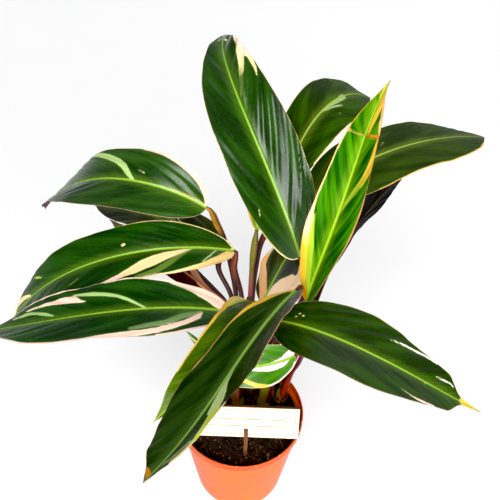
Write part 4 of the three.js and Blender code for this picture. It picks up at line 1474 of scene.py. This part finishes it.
def soil_bed(soup):
    turn = full_turn(SOIL_SECTORS)
    reach = (np.arange(1, SOIL_RINGS + 1) / SOIL_RINGS) ** SOIL_CROWDING
    edge = wall_radius(SOIL_TOP) - POT_WALL - SEAT_GAP
    radius = reach * edge
    x = radius[:, None] * np.cos(turn)
    y = radius[:, None] * np.sin(turn)
    calm = 1 - smoothstep(reach, CALM_FROM, 1)[:, None]
    z = SOIL_TOP - EDGE_SAG + (EDGE_SAG + lumps(x, y)) * calm
    top = np.stack([x, y, z], -1).reshape(-1, 3)
    foot = POT_FLOOR + SEAT_GAP
    foot_radius = wall_radius(foot) - POT_WALL - SEAT_GAP
    low = round_points((0, 0), foot_radius, turn, foot)
    points = np.concatenate([top, low, [(0, 0, SOIL_TOP + lumps(0, 0)), (0, 0, foot)]])
    faces = turned_over(tube_faces(SOIL_RINGS + 1, SOIL_SECTORS))
    soup.add(points, faces, tone=SOIL_BROWN, grain=points)


def crumb_shape():
    """A twenty-faced lump, the body of every crumb."""
    golden = (1 + 5 ** 0.5) / 2
    corners = [(0, a, b * golden) for a in (-1, 1) for b in (-1, 1)]
    corners += [(a, b * golden, 0) for a in (-1, 1) for b in (-1, 1)]
    corners += [(b * golden, 0, a) for a in (-1, 1) for b in (-1, 1)]
    corners = np.array(corners, float) / math.hypot(1, golden)
    gaps = np.linalg.norm(corners[:, None] - corners, axis=-1)
    edge = gaps[0, 1:].min() * 1.01
    faces = []
    for i, j, k in itertools.combinations(range(len(corners)), 3):
        if max(gaps[i, j], gaps[j, k], gaps[i, k]) < edge:
            outward = np.cross(corners[j] - corners[i], corners[k] - corners[i]).dot(corners[i]) > 0
            faces.append((i, j, k) if outward else (i, k, j))
    return corners, faces


def place_on_soil(draw):
    """A random place that is clear of the shoots."""
    while True:
        radius = SOIL_REACH * math.sqrt(draw.random())
        angle = draw.uniform(0, 2 * math.pi)
        x, y = radius * math.cos(angle), radius * math.sin(angle)
        if all(math.dist((x, y), shoot["at"]) > shoot["radius"] - 1 for shoot in SHOOTS.values()):
            return x, y


def add_crumbs(soup, draw):
    corners, faces = crumb_shape()
    for _ in range(CRUMBS):
        x, y = place_on_soil(draw)
        size = draw.uniform(*CRUMB_SIZES) * (BIG_CRUMB if draw.random() < BIG_CRUMB_SHARE else 1)
        shape = corners * (1 + CRUMB_ROUGHNESS * draw.standard_normal((12, 1)).clip(-1, 1))
        shape = shape * draw.uniform(*CRUMB_STRETCH, 3) * size
        tone = CRUMB_TONES[draw.choice(len(CRUMB_TONES), p=CRUMB_TONE_SHARES)]
        points = shape + (x, y, SOIL_TOP + lumps(x, y) + 0.15 * size)
        soup.add(points, faces, tone=tone, grain=points)
    for _ in range(PERLITE):
        x, y = place_on_soil(draw)
        size = draw.uniform(*PERLITE_SIZES)
        shape = corners * (1 + PERLITE_ROUGHNESS * draw.standard_normal((12, 1))) * size
        points = shape + (x, y, SOIL_TOP + lumps(x, y) + 0.6 * size)
        soup.add(points, faces, tone=PERLITE_WHITE, grain=points)


def add_fibres(soup, draw):
    """Bits of root and bark fibre, thin curved four-sided rods lying on the soil."""
    steps = np.linspace(-0.5, 0.5, FIBRE_STEPS)
    for _ in range(FIBRES):
        x, y = place_on_soil(draw)
        heading = draw.uniform(0, 2 * math.pi)
        length = draw.uniform(*FIBRE_LENGTHS)
        thickness = draw.uniform(*FIBRE_RADII)
        bend = heading + draw.uniform(-FIBRE_BEND, FIBRE_BEND) * steps
        px = x + length * steps * np.cos(bend)
        py = y + length * steps * np.sin(bend)
        limit = np.minimum(1, SOIL_REACH / np.maximum(np.hypot(px, py), ALMOST_NOTHING))
        px, py = px * limit, py * limit
        arch = draw.uniform(0, FIBRE_ARCH) * (0.5 - np.abs(steps))
        path = np.stack([px, py, SOIL_TOP + lumps(px, py) + FIBRE_RAISE + arch], -1)
        ring = ring_round(full_turn(FIBRE_SIDES), *sweep_frames(path))
        points = tube_points(path, ring, (thickness * (1.1 - 1.6 * np.abs(steps)))[:, None])
        tone = np.array(FIBRE_TAN) * draw.uniform(*FIBRE_TONES)
        soup.add(points, tube_faces(FIBRE_STEPS, FIBRE_SIDES), tone=tone, grain=points)


def soil_material():
    g = material_graph("potting_soil")
    grain = g.vector("grain")
    coarse = g.noise(grain, 1.2, detail=5.0, roughness=0.7)
    fine = g.noise(grain, 5.0, detail=3.0)
    tone = g.colour("tone")
    skin = g.tint(g.mix(0.5, tone, SOIL_SHADOW), tone, coarse, 0.35, 0.65)
    skin = g.tint(skin, SOIL_SPECK, fine, 0.62, 0.74, 0.5)
    relief = g.bump(coarse, 1.2, 0.8)
    relief = g.bump(fine, 0.4, 0.7, relief)
    return g.surface(Base_Color=skin, Roughness=0.88, Normal=relief, Specular_IOR_Level=0.3)


def build_soil():
    draw = np.random.default_rng(21)
    soup = Soup()
    soil_bed(soup)
    add_crumbs(soup, draw)
    add_fibres(soup, draw)
    settle(soup.piece("soil_bed", soil_material(), SOIL_CREASE), "soil")


# ---------------------------------------------------------------- plaque and stake
TAG_STEP = 1.2
TAG_ROUNDING = 0.35
TAG_WEAR = 0.6
TAG_CREASE = 35
RULE_DEPTH = 0.35
RULE_SLOPE = 0.12
FRAME_INSET = 3.2
FRAME_RULE = 0.5
WRITING_RULE = 0.7
WRITING_INSET = 12
WRITING_HEIGHTS = (20, 12.5)

STAKE_STEPS = 70
STAKE_SIDES = 24
STAKE_SQUARENESS = 0.35
STAKE_ROUGHNESS = 0.05
STAKE_WANDER = 0.12
STAKE_CREASE = 40
STAKE_BEHIND = -(SEAT_GAP + STAKE_THICKNESS / 2)

PLYWOOD = srgb(246, 232, 200)
PLYWOOD_GRAIN = srgb(236, 214, 172)
PLYWOOD_PORE = srgb(206, 172, 122)
SCORCHED = srgb(58, 30, 12)
SCORCHED_LIGHT = srgb(104, 62, 28)
ENGRAVED = srgb(112, 66, 22)
STAKE_DARK = srgb(58, 32, 18)
STAKE_LIGHT = srgb(126, 80, 44)
STAKE_CRACK = srgb(30, 16, 10)

# Plain engraved rules on the plaque: left, right, foot and head of each in millimetres
# from the plaque's lower left corner. They stand where a name would be written.
LEFT, RIGHT = FRAME_INSET, TAG_WIDTH - FRAME_INSET
FOOT, HEAD = FRAME_INSET, TAG_HEIGHT - FRAME_INSET
RULES = [
    (LEFT, RIGHT, FOOT, FOOT + FRAME_RULE),
    (LEFT, RIGHT, HEAD - FRAME_RULE, HEAD),
    (LEFT, LEFT + FRAME_RULE, FOOT, HEAD),
    (RIGHT - FRAME_RULE, RIGHT, FOOT, HEAD),
    *[(WRITING_INSET, TAG_WIDTH - WRITING_INSET, h, h + WRITING_RULE) for h in WRITING_HEIGHTS],
]


def on_tag(x, climb, depth):
    """A place on the leaning plane of the plaque's front: across, up the slope, behind it."""
    y = TAG_FOOT_Y + climb * math.sin(TAG_LEAN) + depth * math.cos(TAG_LEAN)
    z = TAG_FOOT_Z + climb * math.cos(TAG_LEAN) - depth * math.sin(TAG_LEAN)
    return np.stack([x, y, z], -1)


def breaks(length, edges):
    """Grid lines: even ones, and one at each foot and lip of an engraved rule's sides."""
    lines = set(np.round(np.linspace(0, length, int(length / TAG_STEP) + 1), 3))
    for edge in edges:
        lines |= {round(edge + shift, 3) for shift in (-RULE_SLOPE, 0, RULE_SLOPE)}
    lines |= {TAG_ROUNDING / 3, TAG_ROUNDING, length - TAG_ROUNDING, length - TAG_ROUNDING / 3}
    return np.array(sorted(lines))


def rule_depth(across, climb):
    """1 at the bottom of an engraved rule, 0 on the plain face."""
    depth = np.zeros_like(across)
    for left, right, foot, head in RULES:
        inside = np.minimum.reduce([across - left, right - across, climb - foot, head - climb])
        depth = np.maximum(depth, np.clip(1 + inside / RULE_SLOPE, 0, 1))
    return depth


def tag_material():
    g = material_graph("tag_plywood")
    place = g.vector("board")
    grain = g.noise(place, (0.03, 0.9, 0.5), detail=4.0, roughness=0.6)
    pore = g.noise(place, (0.25, 6.0, 6.0))
    skin = g.tint(PLYWOOD, PLYWOOD_GRAIN, grain, 0.35, 0.7)
    skin = g.tint(skin, PLYWOOD_PORE, pore, 0.62, 0.75, 0.4)
    layers = g.noise(place, (0.02, 0.02, 3.0), detail=1.0)
    side = g.tint(SCORCHED, SCORCHED_LIGHT, layers, 0.4, 0.6)
    skin = g.mix(g.number("side"), skin, side)
    skin = g.mix(g.times(g.number("engraved"), 0.95), skin, ENGRAVED)
    relief = g.bump(grain, 0.3, 0.3)
    relief = g.bump(pore, 0.1, 0.4, relief)
    return g.surface(Base_Color=skin, Roughness=0.62, Normal=relief, Specular_IOR_Level=0.3)


def build_tag():
    """The leaning plaque: an engraved front, a plain back and worn, scorched edges."""
    xs = breaks(TAG_WIDTH, [edge for rule in RULES for edge in rule[:2]])
    climbs = breaks(TAG_HEIGHT, [edge for rule in RULES for edge in rule[2:]])
    climb, across = np.meshgrid(climbs, xs, indexing="ij")
    rim = np.minimum.reduce([across, TAG_WIDTH - across, climb, TAG_HEIGHT - climb])
    worn = TAG_ROUNDING * (1 - smoothstep(rim, -0.1, TAG_ROUNDING)) * TAG_WEAR
    engraved = rule_depth(across, climb)
    left = TAG_CENTRE_X - TAG_WIDTH / 2
    front = on_tag(left + across, climb, worn + RULE_DEPTH * engraved)
    back = on_tag(left + across, climb, TAG_THICKNESS - worn)
    points = both_skins(front, back)
    rows, columns = across.shape
    size = rows * columns
    sides, ends = rim_faces(rows, columns)
    faces = grid_faces(rows, columns) + grid_faces(rows, columns, start=size, flip=True)
    board = make_piece("tag_board", points, faces + sides + ends, [tag_material()], crease=TAG_CREASE)

    on_rim = (rim < TAG_ROUNDING / 2).ravel().astype(float)
    scorched_top = (climb > TAG_HEIGHT - 1.1 * TAG_ROUNDING).ravel().astype(float)
    flat = [
        np.stack([across.ravel(), climb.ravel(), np.full(size, depth)], -1)
        for depth in (0.0, TAG_THICKNESS)]
    add_attribute(board, "board", np.concatenate(flat))
    add_attribute(board, "engraved", np.append(engraved.ravel(), np.zeros(size)))
    add_attribute(board, "side", np.append(np.maximum(on_rim, scorched_top), on_rim))
    settle(board, "tag_plaque")


def stake_material():
    g = material_graph("stake_wood")
    place = g.vector("board")
    grain = g.noise(place, (1.6, 0.06, 1.6), detail=4.0, roughness=0.65)
    crack = g.noise(place, (3.5, 0.05, 3.5))
    skin = g.tint(STAKE_DARK, STAKE_LIGHT, grain, 0.3, 0.7)
    skin = g.tint(skin, STAKE_CRACK, crack, 0.6, 0.72)
    relief = g.bump(grain, 0.8, 0.7)
    return g.surface(Base_Color=skin, Roughness=0.7, Normal=relief, Specular_IOR_Level=0.3)


def build_stake():
    """A split stick: a rounded oblong section that wanders a little along its length.

    Known fault: it is turned over although its faces already look outwards, so they look inwards.
    """
    climb = np.linspace(-STAKE_BURIED, STAKE_LAP, STAKE_STEPS)
    turn = full_turn(STAKE_SIDES)
    cosine, sine = np.cos(turn), np.sin(turn)
    out_x = np.sign(cosine) * np.abs(cosine) ** STAKE_SQUARENESS * STAKE_WIDTH / 2
    out_y = np.sign(sine) * np.abs(sine) ** STAKE_SQUARENESS * STAKE_THICKNESS / 2
    rough = 1 - STAKE_ROUGHNESS * (1 + uneven(climb[:, None] + 30 * turn[None], 17, 3))
    wander = STAKE_WANDER * uneven(climb, 30, 4)[:, None]
    across = STAKE_X + out_x[None] * rough + wander
    depth = STAKE_BEHIND + out_y[None] * rough
    level = np.broadcast_to(climb[:, None], across.shape)
    ends = [on_tag(STAKE_X, c, STAKE_BEHIND) for c in (climb[0], climb[-1])]
    points = np.concatenate([on_tag(across, level, depth).reshape(-1, 3), ends])
    faces = turned_over(tube_faces(STAKE_STEPS, STAKE_SIDES))
    stick = make_piece("stake_stick", points, faces, [stake_material()], crease=STAKE_CREASE)
    local = np.stack([across.ravel(), level.ravel(), depth.ravel()], -1)
    local = np.concatenate([local, [(STAKE_X, climb[0], 0), (STAKE_X, climb[-1], 0)]])
    add_attribute(stick, "board", local)
    settle(stick, "tag_stake")


# ---------------------------------------------------------------- floor, light, camera
FLOOR_SIZE = 30000
FLOOR_DARK = srgb(150, 150, 151)
FLOOR_LIGHT = srgb(153, 153, 154)
FLOOR_GLOW = 0.58
BLACK_LEVEL = 0.01
FOCAL_LENGTH = 50
SENSOR_WIDTH = 36
CAMERA_PLACE = (3.1, -370.9, 688.3)
CAMERA_PITCH = math.radians(44.34)
CAMERA_ROLL = math.radians(2.08)

SKY = (0.98, 0.99, 1.0)
SKY_STRENGTH = 0.2
SKY_BEHIND_MORE = 0.1
SKY_HORIZON_MORE = 0.2
SUN_FROM = (-250, -1400, 1650)
SUN_WIDTH = 34
SUN_STRENGTH = 3.0

# The round lamps: where each stands, what it looks at, its diameter and its power in watts.
LAMPS = {
    "front": ((450, -2100, 900), (0, 0, 120), 1800, 60),
    "back": ((900, 1500, 1500), (0, 0, 250), 2400, 10),
    "fill": ((1000, -1750, 900), (0, 0, 200), 1200, 16),
}


def build_floor():
    g = material_graph("floor_paint")
    fine = g.noise(g.place(), 9.0, detail=3.0)
    g.surface(
        Base_Color=g.mix(fine, FLOOR_DARK, FLOOR_LIGHT), Roughness=0.75, Specular_IOR_Level=0.2,
        Emission_Color=(1.0, 1.0, 1.0), Emission_Strength=FLOOR_GLOW)
    half = FLOOR_SIZE / 2
    corners = [(-half, -half, 0), (half, -half, 0), (half, half, 0), (-half, half, 0)]
    floor = make_piece("floor", corners, [(0, 1, 2, 3)], [g.owner])


def add_lamp(name, place, target, size, power):
    light = bpy.data.lights.new(name, "AREA")
    light.shape = "DISK"
    light.size = size * MM
    light.energy = power
    lamp = add_object(name, light)
    lamp.location = Vector(place) * MM
    lamp.rotation_euler = (Vector(target) - Vector(place)).to_track_quat("-Z", "Y").to_euler()


def add_sun(name, origin, width, strength):
    """Parallel light that comes from the direction of origin, width degrees across."""
    light = bpy.data.lights.new(name, "SUN")
    light.angle = math.radians(width)
    light.energy = strength
    sun = add_object(name, light)
    sun.rotation_euler = Vector(origin).to_track_quat("Z", "Y").to_euler()


def build_light():
    """Sky light that is stronger behind the plant and at the horizon, a wide sun and lamps."""
    scene = bpy.context.scene
    g = Graph(bpy.data.worlds.new("studio"), "Background")
    towards = g.parts(g.node("TexCoord").outputs["Generated"])
    behind = g.between(towards[1], -0.1, 0.7, 0.0, SKY_BEHIND_MORE)
    level = g.between(towards[2], 0.4, 0.0, 0.0, SKY_HORIZON_MORE)
    scene.world = g.surface(Color=SKY, Strength=g.add(g.add(behind, level), SKY_STRENGTH))
    add_sun("key", SUN_FROM, SUN_WIDTH, SUN_STRENGTH)
    for name, values in LAMPS.items():
        add_lamp(name, *values)
    view = scene.view_settings
    view.view_transform = "Standard"
    view.use_curve_mapping = True
    view.curve_mapping.black_level = (BLACK_LEVEL, BLACK_LEVEL, BLACK_LEVEL)
    view.curve_mapping.update()


def build_camera():
    """The camera looks down at the plant from the front, turned a little about its own axis."""
    forward = Vector((0, math.cos(CAMERA_PITCH), -math.sin(CAMERA_PITCH)))
    level = Vector((1, 0, 0))
    down = Vector((0, -math.sin(CAMERA_PITCH), -math.cos(CAMERA_PITCH)))
    right = level * math.cos(CAMERA_ROLL) - down * math.sin(CAMERA_ROLL)
    below = level * math.sin(CAMERA_ROLL) + down * math.cos(CAMERA_ROLL)
    turned = Matrix((right, -below, -forward)).transposed().to_4x4()
    data = bpy.data.cameras.new("camera")
    data.lens = FOCAL_LENGTH
    data.sensor_width = SENSOR_WIDTH
    camera = add_object("camera", data)
    camera.matrix_world = Matrix.Translation(Vector(CAMERA_PLACE) * MM) @ turned
    bpy.context.scene.camera = camera


# ---------------------------------------------------------------- the whole scene
build_camera()
build_light()
build_floor()
build_pot()
build_soil()
build_tag()
build_stake()
build_stalks()
for leaf_index, (leaf_name, leaf_entry) in enumerate(LEAVES.items()):
    build_blade(leaf_name, leaf_entry, leaf_index)
build_spear()
